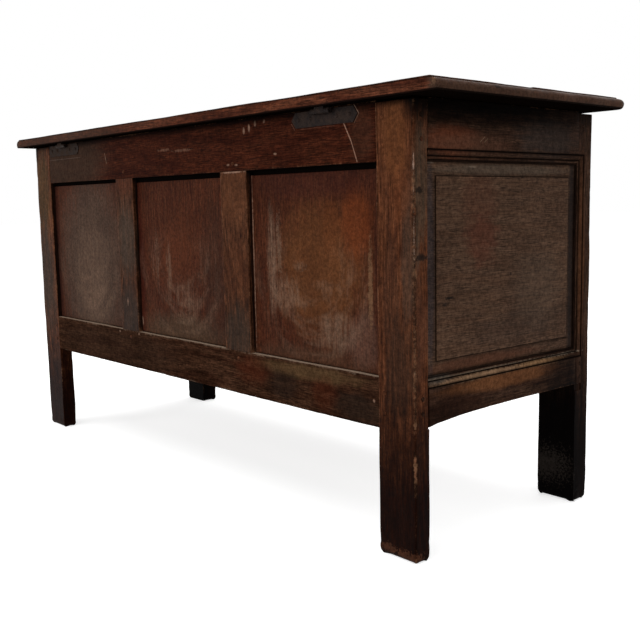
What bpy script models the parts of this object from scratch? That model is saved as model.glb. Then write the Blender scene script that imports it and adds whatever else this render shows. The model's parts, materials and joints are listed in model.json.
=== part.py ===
"""Panelled oak blanket chest, joined with pegged mortise and tenon, with an iron-hinged lid.

The four corner stiles run down to the floor as legs. Rails and muntins are tenoned between them,
and thin panels sit loose in grooves. The back is plain, while the ends and the front have a
moulding run round fielded panels. Metres, +Z up. The origin is on the floor under the middle of
the whole chest, the front faces -Y, and left and right are as seen from the front.
"""
import math

import bmesh
import bpy
from mathutils import Matrix, Vector

# Carcass
LENGTH = 1.300
DEPTH = 0.455
RAIL_TOP = 0.700
STILE_SET_DOWN = 0.0035
FIT = 0.0003

# Stiles, which are also the legs
REAR_STILE_WIDTH = 0.078
REAR_STILE_THICK = 0.031
FRONT_STILE_WIDTH = 0.079
FRONT_STILE_THICK = 0.040
EDGE_REBATE_WIDTH = 0.0025
EDGE_REBATE_DEPTH = 0.004
LEG_LEDGE_Z = 0.207

# Rails and muntins
RAIL_THICK = 0.025
REAR_TOP_RAIL_WIDTH = 0.0905
LONG_BOTTOM_RAIL_Z = 0.2005
REAR_BOTTOM_RAIL_TOP = 0.2815
REAR_LEFT_OPENING = 0.332
REAR_RIGHT_OPENING = 0.329
REAR_LEFT_MUNTIN_WIDTH = 0.082
REAR_RIGHT_MUNTIN_WIDTH = 0.074
MOULDED_TOP_RAIL_WIDTH = 0.091
MOULDED_BOTTOM_RAIL_TOP = 0.286
END_BOTTOM_RAIL_Z = 0.2195
UNDERSIDE_DROP = 0.010
UNDERSIDE_FADE = 0.065
UNDERSIDE_POINTS = 10
FRONT_SIDE_OPENING = 0.322
FRONT_MUNTIN_WIDTH = 0.082

# Tenons
TENON_IN = 0.009
TENON_THICK = 0.008
TENON_ROOT = 0.006
TENON_TOP_SHOULDER = 0.015
TENON_SIDE_SHOULDER = 0.014
RAIL_TENON_LENGTH = 0.045
END_TENON_IN_REAR = 0.021
END_TENON_IN_FRONT = 0.029
MUNTIN_TENON_LENGTH = 0.030

# Pegs
PEG_RADIUS = 0.0042
PEG_LENGTH = 0.022
PEG_PROUD = 0.0006
PEG_SIDES = 10
PEG_FROM_SHOULDER = 0.014
PEG_FROM_TENON_EDGE = 0.011

# Panels and their grooves
PANEL_TONGUE = 0.008
PANEL_PLAY = 0.002
REAR_PANEL_RECESS = 0.009
REAR_PANEL_THICK = 0.009
FIELD_DEPTH = 0.0050
FIELD_STEP = 0.0016
FIELD_STEP_WIDTH = 0.0006
FIELD_BORDER = 0.022
BORDER_FALL = 0.0019
FIELDED_PANEL_THICK = 0.010

# Moulding run round the ends' and the front's openings
MOULDING_WIDTH = 0.0175
QUIRK_WIDTH = 0.0018
QUIRK_DEPTH = 0.0016
OVOLO_TOP = 0.0007
OVOLO_WIDTH = 0.0082
OVOLO_DEPTH = 0.0050
BEAD_RADIUS = 0.0020
BEAD_QUIRK = 0.0012
ARC_STEPS = 4
CUT_CLEAR = 0.002

# Bottom
BOARD_COUNT = 6
BOARD_THICK = 0.014
BOARD_Z = 0.236
BOARD_TONGUE = 0.005
BOARD_PLAY = 0.0006
BOARD_GROOVE_PLAY = 0.001

# Lid
LID_THICK = 0.021
LID_REAR_OVERHANG = 0.020
LID_END_OVERHANG = 0.064
LID_FRONT_OVERHANG = 0.012
LID_REAR_BOARD_WIDTH = 0.235
LID_FILLET_HEIGHT = 0.0032
LID_FILLET_IN = 0.012
LID_NOSE_STEPS = 6
LID_UNDER_ROUND = 0.006
LID_TONGUE = 0.008
LID_TONGUE_THICK = 0.006
LID_TONGUE_STOP = 0.030

# Hinges
LEFT_HINGE_FROM_END = 0.196
RIGHT_HINGE_FROM_END = 0.161
HINGE_AXIS_OUT = 0.0062
HINGE_AXIS_BELOW_RAIL_TOP = 0.0057
IRON_THICK = 0.0025
PLATE_LENGTH = 0.160
PLATE_HEIGHT = 0.025
PLATE_BELOW_RAIL_TOP = 0.003
PLATE_HOUSED = 0.0013
PLATE_CLIP = 0.010
PLATE_NOTCH = 0.0035
KNUCKLE_LENGTH = 0.045
LID_KNUCKLE_LENGTH = 0.022
KNUCKLE_RADIUS = 0.0045
PIN_RADIUS = 0.0021
PIN_PROUD = 0.001
KNUCKLE_SIDES = 16
KNUCKLE_GAP = 0.0005
STRAP_LENGTH = 0.150
STRAP_WIDTH = 0.032
STRAP_NECK = 0.030
STRAP_SHOULDER = 0.048
STRAP_TIP_RADIUS = 0.010
PLATE_NAIL_OFFSETS = (-0.062, -0.032, 0.032, 0.062)
STRAP_NAILS_FROM_AXIS = (0.060, 0.100, 0.140)
NAIL_SHANK = 0.0024
NAIL_HEAD_RADIUS = 0.0040
NAIL_HEAD_TOP_RADIUS = 0.0020
NAIL_HEAD_HIGH = 0.0014
NAIL_HEAD_SIDES = 8
NAIL_LENGTH = 0.012

# Lock
LOCK_WIDTH = 0.110
LOCK_HEIGHT = 0.066
LOCK_DEEP = 0.016
LOCK_WALL = 0.0015
LOCK_BELOW_RAIL_TOP = 0.007
EAR_LENGTH = 0.014
EAR_HEIGHT = 0.020
GUIDES_X = (-0.016, 0.013)
GUIDE_THICK = 0.003
STAPLE_ASIDE = 0.026
STAPLE_THICK = 0.004
STAPLE_WIDTH = 0.0095
STAPLE_DROP = 0.028
STAPLE_PLATE_LENGTH = 0.050
STAPLE_PLATE_WIDTH = 0.013
STAPLE_PLATE_THICK = 0.002
STAPLE_NAIL_OFFSET = 0.0175
STAPLE_ROOM = 0.0012
BOLT_LENGTH = 0.050
BOLT_HEIGHT = 0.009
BOLT_THICK = 0.005
BOLT_STANDOFF = 0.002
BOLT_ROOM = 0.0004
BOLT_BELOW_LOCK_TOP = 0.013
TALON_WIDTH = 0.006
TALON_HEIGHT = 0.003
ESCUTCHEON_WIDTH = 0.044
ESCUTCHEON_HEIGHT = 0.062
ESCUTCHEON_THICK = 0.0015
ESCUTCHEON_ABOVE_KEYHOLE = 0.025
ESCUTCHEON_SHOULDER_RISE = 0.022
ESCUTCHEON_POINT_HALF = 0.013
ESCUTCHEON_POINT_RISE = 0.008
ESCUTCHEON_NAIL_IN = 0.006
ESCUTCHEON_LOW_NAIL_UP = 0.009
KEYHOLE_RADIUS = 0.0050
KEYHOLE_SLOT_WIDTH = 0.0050
KEYHOLE_SLOT_DROP = 0.014
KEYHOLE_BELOW_LOCK_TOP = 0.030
KEY_POST_RADIUS = 0.0022
KEY_POST_REACH = 0.006

# Places that follow from the sizes
HALF_LENGTH = LENGTH / 2
REAR_FACE = (DEPTH + LID_FRONT_OVERHANG - LID_REAR_OVERHANG) / 2
FRONT_FACE = REAR_FACE - DEPTH
STILE_TOP = RAIL_TOP - STILE_SET_DOWN
REAR_TOP_RAIL_Z = RAIL_TOP - REAR_TOP_RAIL_WIDTH
MOULDED_TOP_RAIL_Z = RAIL_TOP - MOULDED_TOP_RAIL_WIDTH
REAR_SHOULDERS = (-HALF_LENGTH + REAR_STILE_WIDTH, HALF_LENGTH - REAR_STILE_WIDTH)
FRONT_SHOULDERS = (-HALF_LENGTH + FRONT_STILE_WIDTH, HALF_LENGTH - FRONT_STILE_WIDTH)
END_SHOULDERS = (FRONT_FACE + FRONT_STILE_THICK, REAR_FACE - REAR_STILE_THICK)
REAR_OPENING_V = (REAR_BOTTOM_RAIL_TOP, REAR_TOP_RAIL_Z)
MOULDED_OPENING_V = (MOULDED_BOTTOM_RAIL_TOP, MOULDED_TOP_RAIL_Z)
PANEL_GROOVE = PANEL_TONGUE + PANEL_PLAY
TENON_TOP = RAIL_TOP - TENON_TOP_SHOULDER
MOULDED_TENON_LOW = MOULDED_TOP_RAIL_Z + MOULDING_WIDTH + CUT_CLEAR
LID_UNDER = RAIL_TOP + FIT
LID_X = (-HALF_LENGTH - LID_END_OVERHANG, HALF_LENGTH + LID_END_OVERHANG)
LID_Y = (FRONT_FACE - LID_FRONT_OVERHANG, REAR_FACE + LID_REAR_OVERHANG)
LID_JOINT_Y = LID_Y[1] - LID_REAR_BOARD_WIDTH
HINGE_Y = REAR_FACE + HINGE_AXIS_OUT
HINGE_Z = RAIL_TOP - HINGE_AXIS_BELOW_RAIL_TOP
HINGE_AXIS = Vector((0.0, HINGE_Y, HINGE_Z))
PLATE_BACK = REAR_FACE - PLATE_HOUSED
PLATE_FACE = PLATE_BACK + IRON_THICK
PLATE_TOP = RAIL_TOP - PLATE_BELOW_RAIL_TOP
LOCK_Y = FRONT_FACE + RAIL_THICK
LOCK_TOP = RAIL_TOP - LOCK_BELOW_RAIL_TOP
LOCK_MIDDLE_Y = LOCK_Y + (LOCK_DEEP - LOCK_WALL) / 2
BOLT_Z = LOCK_TOP - BOLT_BELOW_LOCK_TOP
BOLT_TIP = STAPLE_ASIDE - STAPLE_THICK / 2 - BOLT_STANDOFF
KEYHOLE_Z = LOCK_TOP - KEYHOLE_BELOW_LOCK_TOP


# Scene, collections and materials
for old in list(bpy.data.objects):
    bpy.data.objects.remove(old, do_unlink=True)

PARTS = bpy.data.collections.new("blanket_chest")
CUTTERS = bpy.data.collections.new("cutters")
for collection in (PARTS, CUTTERS):
    bpy.context.scene.collection.children.link(collection)


def finish_of(name, colour, roughness, metallic=0.0):
    """A Principled material with the finish's own colour."""
    material = bpy.data.materials.new(name)
    material.use_nodes = True
    shader = material.node_tree.nodes["Principled BSDF"]
    shader.inputs["Base Color"].default_value = (*colour, 1.0)
    shader.inputs["Roughness"].default_value = roughness
    shader.inputs["Metallic"].default_value = metallic
    material.diffuse_color = (*colour, 1.0)
    return material


OAK_FRAME = finish_of("oak_frame", (0.135, 0.058, 0.028), 0.5)
OAK_PANEL = finish_of("oak_panel", (0.110, 0.052, 0.030), 0.55)
OAK_LID = finish_of("oak_lid", (0.150, 0.066, 0.034), 0.42)
OAK_BOTTOM = finish_of("oak_bottom", (0.210, 0.130, 0.075), 0.8)
IRON = finish_of("wrought_iron", (0.045, 0.038, 0.034), 0.6, 0.75)


# Building blocks
def empty_at(name, place):
    """An empty that carries pieces."""
    holder = bpy.data.objects.new(name, None)
    PARTS.objects.link(holder)
    holder.location = place
    return holder


CARCASS = empty_at("carcass", Vector((0.0, 0.0, 0.0)))
LID = empty_at("lid_hinge_axis", HINGE_AXIS)


def object_of(name, shape, origin, material=None, holder=None):
    """An object from a bmesh in world metres, with its own origin; a cutter if it has no material."""
    bmesh.ops.recalc_face_normals(shape, faces=shape.faces)
    bmesh.ops.translate(shape, vec=-Vector(origin), verts=shape.verts)
    mesh = bpy.data.meshes.new(name)
    shape.to_mesh(mesh)
    shape.free()
    piece = bpy.data.objects.new(name, mesh)
    if material is None:
        CUTTERS.objects.link(piece)
        piece.hide_render = True
        piece.display_type = "WIRE"
        piece.location = origin
        return piece
    PARTS.objects.link(piece)
    mesh.materials.append(material)
    holder = holder or CARCASS
    piece.parent = holder
    piece.location = Vector(origin) - holder.location
    return piece


def centre_of(shape):
    """The middle of a bmesh's box."""
    spots = [vert.co for vert in shape.verts]
    low = Vector([min(spot[i] for spot in spots) for i in range(3)])
    high = Vector([max(spot[i] for spot in spots) for i in range(3)])
    return (low + high) / 2


def cuboid(shape, low, high):
    """Adds a box between two corners to a bmesh."""
    low, high = Vector(low), Vector(high)
    size = Matrix.Diagonal((*(high - low), 1.0))
    bmesh.ops.create_cube(shape, size=1.0, matrix=Matrix.Translation((low + high) / 2) @ size)


def cylinder(shape, start, end, radius, sides, end_radius=None):
    """Adds a cylinder or cone from start to end to a bmesh."""
    start, end = Vector(start), Vector(end)
    turn = (end - start).to_track_quat("Z", "Y").to_matrix().to_4x4()
    bmesh.ops.create_cone(
        shape, cap_ends=True, segments=sides, radius1=radius,
        radius2=radius if end_radius is None else end_radius,
        depth=(end - start).length, matrix=Matrix.Translation((start + end) / 2) @ turn)


def flat_outline(shape, outline, low, high, normal):
    """Adds a flat outline, a 2D curve drawn about its own middle, extruded between two places on an axis."""
    curve = bpy.data.curves.new("outline", "CURVE")
    curve.dimensions = "2D"
    curve.fill_mode = "BOTH"
    curve.extrude = (high - low) / 2
    line = curve.splines.new("POLY")
    line.points.add(len(outline) - 1)
    centre = [sum(values) / len(outline) for values in zip(*outline)]
    for point, (across, up) in zip(line.points, outline):
        point.co = (across - centre[0], up - centre[1], 0.0, 1.0)
    line.use_cyclic_u = True
    guide = bpy.data.objects.new("outline", curve)
    CUTTERS.objects.link(guide)
    bpy.context.view_layer.update()
    graph = bpy.context.evaluated_depsgraph_get()
    mesh = bpy.data.meshes.new_from_object(guide.evaluated_get(graph))
    bpy.data.objects.remove(guide, do_unlink=True)
    axes = {"X": ((0, 0, 1), (1, 0, 0), (0, 1, 0)), "Y": ((1, 0, 0), (0, 0, -1), (0, 1, 0)),
            "Z": ((1, 0, 0), (0, 1, 0), (0, 0, 1))}[normal]
    turn = Matrix(axes).to_4x4()
    place = turn @ Vector((*centre, 0.0))
    place["XYZ".index(normal)] = (low + high) / 2
    mesh.transform(Matrix.Translation(place) @ turn)
    known = set(shape.verts)
    shape.from_mesh(mesh)
    added = [vert for vert in shape.verts if vert not in known]
    bmesh.ops.remove_doubles(shape, verts=added, dist=0.00001)
    bpy.data.meshes.remove(mesh)


def boolean(piece, other, operation):
    """A Boolean modifier, which stays live."""
    modifier = piece.modifiers.new(other.name, "BOOLEAN")
    modifier.operation = operation
    modifier.object = other


def cut(cutter, *pieces):
    """Takes a cutter out of each piece."""
    for piece in pieces:
        boolean(piece, cutter, "DIFFERENCE")


# The four sides: u runs along a side, v is height, and depth goes in from its outer face
def on_side(side, u, v, depth):
    """A point given on a side of the carcass, in world metres."""
    if side == "left":
        return Vector((-HALF_LENGTH + depth, u, v))
    if side == "right":
        return Vector((HALF_LENGTH - depth, u, v))
    if side == "front":
        return Vector((u, FRONT_FACE + depth, v))
    return Vector((u, REAR_FACE - depth, v))


def side_box(shape, side, u, v, depth):
    """Adds a box given by three spans on a side to a bmesh."""
    one = on_side(side, u[0], v[0], depth[0])
    two = on_side(side, u[1], v[1], depth[1])
    low = [min(pair) for pair in zip(one, two)]
    high = [max(pair) for pair in zip(one, two)]
    cuboid(shape, low, high)


def side_piece(name, side, u, v, depth, material=None):
    """A box on a side as an object of its own: a cutter if it has no material."""
    shape = bmesh.new()
    side_box(shape, side, u, v, depth)
    return object_of(name, shape, centre_of(shape), material)


def grown(span, amount):
    """A span made longer at both ends."""
    return (span[0] - amount, span[1] + amount)


def around(middle, size):
    """A span of a given size about its middle."""
    return (middle - size / 2, middle + size / 2)


def block(name, x, y, z):
    """A cutter or a block to join, given by its spans."""
    shape = bmesh.new()
    cuboid(shape, *zip(x, y, z))
    return object_of(name, shape, centre_of(shape))


def tenon(piece, neighbour, side, u, v):
    """Joins a tenon to a piece and cuts its mortise in the neighbour."""
    depth = (TENON_IN, TENON_IN + TENON_THICK)
    name = f"{piece.name}_in_{neighbour.name}"
    boolean(piece, side_piece(f"{name}_tenon", side, u, v, depth), "UNION")
    mortise = side_piece(f"{name}_mortise", side, grown(u, FIT), grown(v, FIT), grown(depth, FIT))
    cut(mortise, neighbour)


def peg(side, u, v, upright, tenoned):
    """Drives an oak peg, which is one with the mortised piece, through a hole in the tenon."""
    name = f"{tenoned.name}_in_{upright.name}_peg_{len(upright.modifiers)}"
    head = on_side(side, u, v, -PEG_PROUD)
    tip = on_side(side, u, v, PEG_LENGTH)
    shape = bmesh.new()
    cylinder(shape, head, tip, PEG_RADIUS, PEG_SIDES)
    boolean(upright, object_of(name, shape, head), "UNION")
    hole = bmesh.new()
    cylinder(hole, head, tip, PEG_RADIUS + FIT, PEG_SIDES)
    cut(object_of(f"{name}_hole", hole, head), tenoned)


def rail(name, side, ends, v, shoulders, lengths, tenon_v):
    """A horizontal rail between two uprights, tenoned and pegged into both."""
    piece = side_piece(name, side, grown(shoulders, -FIT), v, (0.0, RAIL_THICK), OAK_FRAME)
    low, high = shoulders
    spans = ((low - lengths[0], low + TENON_ROOT), (high - TENON_ROOT, high + lengths[1]))
    places = (low - PEG_FROM_SHOULDER, high + PEG_FROM_SHOULDER)
    for upright, span, place in zip(ends, spans, places):
        tenon(piece, upright, side, span, tenon_v)
        for height in grown(tenon_v, -PEG_FROM_TENON_EDGE):
            peg(side, place, height, upright, piece)
    return piece


def muntin(name, side, u, v, lower, upper):
    """An upright between two rails, tenoned and pegged into both."""
    piece = side_piece(name, side, u, grown(v, -FIT), (0.0, RAIL_THICK), OAK_FRAME)
    low, high = v
    across = grown(u, -TENON_SIDE_SHOULDER)
    spans = ((low - MUNTIN_TENON_LENGTH, low + TENON_ROOT), (high - TENON_ROOT, high + MUNTIN_TENON_LENGTH))
    places = (low - PEG_FROM_SHOULDER, high + PEG_FROM_SHOULDER)
    for cross_rail, span, height in zip((lower, upper), spans, places):
        tenon(piece, cross_rail, side, across, span)
        peg(side, sum(u) / 2, height, cross_rail, piece)
    return piece


def panel_groove(name, side, u, v, depth, members):
    """Cuts a panel's groove in the members round it, with room for the panel to swell."""
    spans = (grown(u, PANEL_GROOVE), grown(v, PANEL_GROOVE), grown(depth, FIT))
    cut(side_piece(f"{name}_groove", side, *spans), *members)


def flat_panel(name, side, u, v, members):
    """A plain panel that sits loose in its groove."""
    depth = (REAR_PANEL_RECESS, REAR_PANEL_RECESS + REAR_PANEL_THICK)
    side_piece(name, side, grown(u, PANEL_TONGUE), grown(v, PANEL_TONGUE), depth, OAK_PANEL)
    panel_groove(name, side, u, v, depth, members)


def fielded_panel(name, side, u, v, members):
    """A panel with a raised field, whose bevelled border thins towards its groove."""
    step_depth = FIELD_DEPTH + FIELD_STEP
    edge_depth = step_depth + BORDER_FALL
    back = FIELD_DEPTH + FIELDED_PANEL_THICK
    shape = bmesh.new()
    side_box(shape, side, grown(u, PANEL_TONGUE), grown(v, PANEL_TONGUE), (edge_depth, back))
    outward = on_side(side, 0.0, 0.0, 0.0) - on_side(side, 0.0, 0.0, 1.0)
    shape.normal_update()
    face = max(shape.faces, key=lambda one: one.normal.dot(outward))
    border = PANEL_TONGUE + FIELD_BORDER
    for width, rise in ((border, BORDER_FALL), (FIELD_STEP_WIDTH, FIELD_STEP)):
        bmesh.ops.inset_region(shape, faces=[face], thickness=width, depth=0.0)
        bmesh.ops.translate(shape, vec=outward * rise, verts=face.verts)
    object_of(name, shape, centre_of(shape), OAK_PANEL)
    sight_depth = edge_depth - BORDER_FALL * PANEL_TONGUE / border
    panel_groove(name, side, u, v, (sight_depth, back), members)


def moulding_section():
    """The wood that the moulding plane takes away: distance out from the opening, and depth."""
    ovolo_out = MOULDING_WIDTH - QUIRK_WIDTH
    ovolo_in = ovolo_out - OVOLO_WIDTH
    floor = OVOLO_TOP + OVOLO_DEPTH
    outline = [(-CUT_CLEAR, floor), (-CUT_CLEAR, -CUT_CLEAR), (MOULDING_WIDTH, -CUT_CLEAR),
               (MOULDING_WIDTH, QUIRK_DEPTH), (ovolo_out, QUIRK_DEPTH)]
    for step in range(ARC_STEPS + 1):
        turn = math.pi / 2 * step / ARC_STEPS
        out = ovolo_out - OVOLO_WIDTH * math.sin(turn)
        outline.append((out, floor - OVOLO_DEPTH * math.cos(turn)))
    middle = ovolo_in - BEAD_QUIRK - BEAD_RADIUS
    for step in range(ARC_STEPS + 1):
        turn = math.pi * step / ARC_STEPS
        outline.append((middle + BEAD_RADIUS * math.cos(turn), floor - BEAD_RADIUS * math.sin(turn)))
    return outline


def run_moulding(name, side, u, v, members):
    """Cuts the moulding round an opening, mitred at its corners, out of the members beside it."""
    section = moulding_section()
    shape = bmesh.new()
    loops = []
    for u_way, v_way in ((0, 0), (1, 0), (1, 1), (0, 1)):
        corner = []
        for out, depth in section:
            across = u[u_way] + (out if u_way else -out)
            height = v[v_way] + (out if v_way else -out)
            corner.append(shape.verts.new(on_side(side, across, height, depth)))
        loops.append(corner)
    count = len(section)
    for one, two in zip(loops, loops[1:] + loops[:1]):
        for index in range(count):
            after = (index + 1) % count
            shape.faces.new((one[index], one[after], two[after], two[index]))
    cut(object_of(f"{name}_moulding", shape, centre_of(shape)), *members)


# Back and front
def long_frame(side, shoulders, stile_thick, opening_v, tenons_v, muntin_spans):
    """The stiles, rails and muntins of the back or front, and the three openings between them."""
    stiles = []
    for end, u in (("left", (-HALF_LENGTH, shoulders[0])), ("right", (shoulders[1], HALF_LENGTH))):
        spans = (u, (0.0, STILE_TOP), (0.0, stile_thick))
        stiles.append(side_piece(f"{side}_{end}_stile", side, *spans, OAK_FRAME))
    lengths = (RAIL_TENON_LENGTH, RAIL_TENON_LENGTH)
    low, high = opening_v
    bottom_v = (LONG_BOTTOM_RAIL_Z, low)
    top = rail(f"{side}_top_rail", side, stiles, (high, RAIL_TOP), shoulders, lengths, tenons_v[1])
    bottom = rail(f"{side}_bottom_rail", side, stiles, bottom_v, shoulders, lengths, tenons_v[0])
    muntins = []
    for end, span in zip(("left", "right"), muntin_spans):
        muntins.append(muntin(f"{side}_{end}_muntin", side, span, opening_v, bottom, top))
    uprights = (stiles[0], *muntins, stiles[1])
    edges = (shoulders[0], *muntin_spans[0], *muntin_spans[1], shoulders[1])
    openings = []
    for number, place in enumerate(("left", "middle", "right")):
        members = (top, bottom, *uprights[number:number + 2])
        openings.append((f"{side}_{place}_panel", edges[2 * number:2 * number + 2], members))
    return stiles, top, bottom, openings


rear_muntins = ((REAR_SHOULDERS[0] + REAR_LEFT_OPENING,
                 REAR_SHOULDERS[0] + REAR_LEFT_OPENING + REAR_LEFT_MUNTIN_WIDTH),
                (REAR_SHOULDERS[1] - REAR_RIGHT_OPENING - REAR_RIGHT_MUNTIN_WIDTH,
                 REAR_SHOULDERS[1] - REAR_RIGHT_OPENING))
rear_tenons = ((LONG_BOTTOM_RAIL_Z + TENON_SIDE_SHOULDER, REAR_BOTTOM_RAIL_TOP - PANEL_GROOVE - CUT_CLEAR),
               (REAR_TOP_RAIL_Z + PANEL_GROOVE + CUT_CLEAR, TENON_TOP))
rear_stiles, rear_top_rail, rear_bottom_rail, rear_openings = long_frame(
    "rear", REAR_SHOULDERS, REAR_STILE_THICK, REAR_OPENING_V, rear_tenons, rear_muntins)
for panel_name, span, members in rear_openings:
    flat_panel(panel_name, "rear", span, REAR_OPENING_V, members)

front_muntins = ((FRONT_SHOULDERS[0] + FRONT_SIDE_OPENING,
                  FRONT_SHOULDERS[0] + FRONT_SIDE_OPENING + FRONT_MUNTIN_WIDTH),
                 (FRONT_SHOULDERS[1] - FRONT_SIDE_OPENING - FRONT_MUNTIN_WIDTH,
                  FRONT_SHOULDERS[1] - FRONT_SIDE_OPENING))
front_tenon_top = MOULDED_BOTTOM_RAIL_TOP - PANEL_GROOVE - CUT_CLEAR
front_tenons = ((LONG_BOTTOM_RAIL_Z + TENON_SIDE_SHOULDER, front_tenon_top), (MOULDED_TENON_LOW, TENON_TOP))
front_stiles, front_top_rail, front_bottom_rail, front_openings = long_frame(
    "front", FRONT_SHOULDERS, FRONT_STILE_THICK, MOULDED_OPENING_V, front_tenons, front_muntins)
for panel_name, span, members in front_openings:
    fielded_panel(panel_name, "front", span, MOULDED_OPENING_V, members)
    run_moulding(panel_name, "front", span, MOULDED_OPENING_V, members)


# Ends, with the moulding stopped against the plain rear stile
def worn_underside(side, bottom_rail):
    """The bottom rail's underside, which dips smoothly towards the rear stile."""
    end, start = END_SHOULDERS
    outline = []
    for step in range(UNDERSIDE_POINTS + 1):
        run = (start - end) * (step / UNDERSIDE_POINTS) ** 2
        drop = UNDERSIDE_DROP * math.exp(-run / UNDERSIDE_FADE)
        outline.append((start - run, END_BOTTOM_RAIL_Z - drop))
    below = END_BOTTOM_RAIL_Z - UNDERSIDE_DROP - CUT_CLEAR
    outline[0] = (start + CUT_CLEAR, outline[0][1])
    outline[-1] = (end - CUT_CLEAR, outline[-1][1])
    outline += [(end - CUT_CLEAR, below), (start + CUT_CLEAR, below)]
    shape = bmesh.new()
    faces = sorted(on_side(side, 0.0, 0.0, depth).x for depth in (-CUT_CLEAR, RAIL_THICK + CUT_CLEAR))
    flat_outline(shape, outline, *faces, "X")
    cut(object_of(f"{side}_end_underside", shape, centre_of(shape)), bottom_rail)


def end_frame(side, front_stile, rear_stile):
    """The two rails and the fielded panel of one end, with the stiles' edges beside them."""
    lengths = (END_TENON_IN_FRONT, END_TENON_IN_REAR)
    uprights = (front_stile, rear_stile)
    bottom_v = (END_BOTTOM_RAIL_Z - UNDERSIDE_DROP, MOULDED_BOTTOM_RAIL_TOP)
    bottom_tenon = (END_BOTTOM_RAIL_Z + CUT_CLEAR, MOULDED_BOTTOM_RAIL_TOP - MOULDING_WIDTH - CUT_CLEAR)
    top = rail(f"{side}_end_top_rail", side, uprights, (MOULDED_TOP_RAIL_Z, RAIL_TOP), END_SHOULDERS,
               lengths, (MOULDED_TENON_LOW, TENON_TOP))
    bottom = rail(f"{side}_end_bottom_rail", side, uprights, bottom_v, END_SHOULDERS, lengths, bottom_tenon)
    worn_underside(side, bottom)
    fielded_panel(f"{side}_end_panel", side, END_SHOULDERS, MOULDED_OPENING_V, (top, bottom, *uprights))
    butted = (END_SHOULDERS[0], END_SHOULDERS[1] + MOULDING_WIDTH + CUT_CLEAR)
    run_moulding(f"{side}_end", side, butted, MOULDED_OPENING_V, (top, bottom, front_stile))

    notch_u = (END_SHOULDERS[0] - MOULDING_WIDTH, END_SHOULDERS[0] + CUT_CLEAR)
    notch_v = (LEG_LEDGE_Z, END_BOTTOM_RAIL_Z)
    cut(side_piece(f"{side}_leg_notch", side, notch_u, notch_v, (-CUT_CLEAR, QUIRK_DEPTH)), front_stile)
    rebate_u = (END_SHOULDERS[1] - CUT_CLEAR, END_SHOULDERS[1] + EDGE_REBATE_WIDTH)
    rebate_v = (LEG_LEDGE_Z, MOULDED_TOP_RAIL_Z + MOULDING_WIDTH)
    rebate_depth = (-CUT_CLEAR, EDGE_REBATE_DEPTH)
    cut(side_piece(f"{side}_edge_rebate", side, rebate_u, rebate_v, rebate_depth), rear_stile)


for side, front_stile, rear_stile in zip(("left", "right"), front_stiles, rear_stiles):
    end_frame(side, front_stile, rear_stile)


# Bottom boards, which run from front to back in the long rails' grooves
def board_outline(left, right, first, last):
    """A board's outline seen from above, with a corner cut out round each stile that it meets."""
    front = FRONT_FACE + RAIL_THICK - BOARD_TONGUE
    rear = REAR_FACE - RAIL_THICK + BOARD_TONGUE
    front_notch = END_SHOULDERS[0] + BOARD_PLAY
    rear_notch = END_SHOULDERS[1] - BOARD_PLAY
    outline = []
    if first:
        front_in = FRONT_SHOULDERS[0] + BOARD_PLAY
        rear_in = REAR_SHOULDERS[0] + BOARD_PLAY
        outline += [(rear_in, rear), (rear_in, rear_notch), (left, rear_notch)]
        outline += [(left, front_notch), (front_in, front_notch), (front_in, front)]
    else:
        outline += [(left, rear), (left, front)]
    if last:
        front_in = FRONT_SHOULDERS[1] - BOARD_PLAY
        rear_in = REAR_SHOULDERS[1] - BOARD_PLAY
        outline += [(front_in, front), (front_in, front_notch), (right, front_notch)]
        outline += [(right, rear_notch), (rear_in, rear_notch), (rear_in, rear)]
    else:
        outline += [(right, front), (right, rear)]
    return outline


inside = (-HALF_LENGTH + RAIL_THICK + BOARD_PLAY, HALF_LENGTH - RAIL_THICK - BOARD_PLAY)
board_width = (inside[1] - inside[0] + BOARD_PLAY) / BOARD_COUNT
for number in range(BOARD_COUNT):
    edge = inside[0] + number * board_width
    board = bmesh.new()
    outline = board_outline(edge, edge + board_width - BOARD_PLAY, number == 0, number == BOARD_COUNT - 1)
    flat_outline(board, outline, BOARD_Z, BOARD_Z + BOARD_THICK, "Z")
    object_of(f"bottom_board_{number + 1}", board, centre_of(board), OAK_BOTTOM)
board_groove_v = grown((BOARD_Z, BOARD_Z + BOARD_THICK), FIT)
board_groove_depth = (RAIL_THICK - BOARD_TONGUE - BOARD_GROOVE_PLAY, RAIL_THICK + CUT_CLEAR)
board_groove_u = (-HALF_LENGTH + RAIL_THICK, HALF_LENGTH - RAIL_THICK)
for side, long_rail in (("rear", rear_bottom_rail), ("front", front_bottom_rail)):
    groove = side_piece(f"{side}_board_groove", side, board_groove_u, board_groove_v, board_groove_depth)
    cut(groove, long_rail)


# Lid
def lid_levels():
    """The lid's edge as pairs of height above its underside and distance in from the widest outline."""
    nose = LID_THICK - LID_FILLET_HEIGHT
    levels = []
    for step in range(LID_NOSE_STEPS + 1):
        turn = math.pi * (step / LID_NOSE_STEPS - 0.5)
        reach = LID_UNDER_ROUND if step < LID_NOSE_STEPS / 2 else LID_FILLET_IN
        levels.append((nose / 2 * (1 + math.sin(turn)), reach * (1 - math.cos(turn))))
    levels.append((LID_THICK, LID_FILLET_IN))
    return levels


def lid_board(name, y, moulded_front):
    """A lid board, whose ends and perhaps front carry the rounded and stepped edge."""
    shape = bmesh.new()
    loops = []
    for height, inward in lid_levels():
        front = y[0] + (inward if moulded_front else 0.0)
        corners = ((LID_X[0] + inward, front), (LID_X[1] - inward, front),
                   (LID_X[1] - inward, y[1]), (LID_X[0] + inward, y[1]))
        loops.append([shape.verts.new((*corner, LID_UNDER + height)) for corner in corners])
    for lower, upper in zip(loops, loops[1:]):
        for index in range(4):
            after = (index + 1) % 4
            shape.faces.new((lower[index], lower[after], upper[after], upper[index]))
    shape.faces.new(loops[0])
    shape.faces.new(loops[-1])
    return object_of(name, shape, HINGE_AXIS, OAK_LID, LID)


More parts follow.
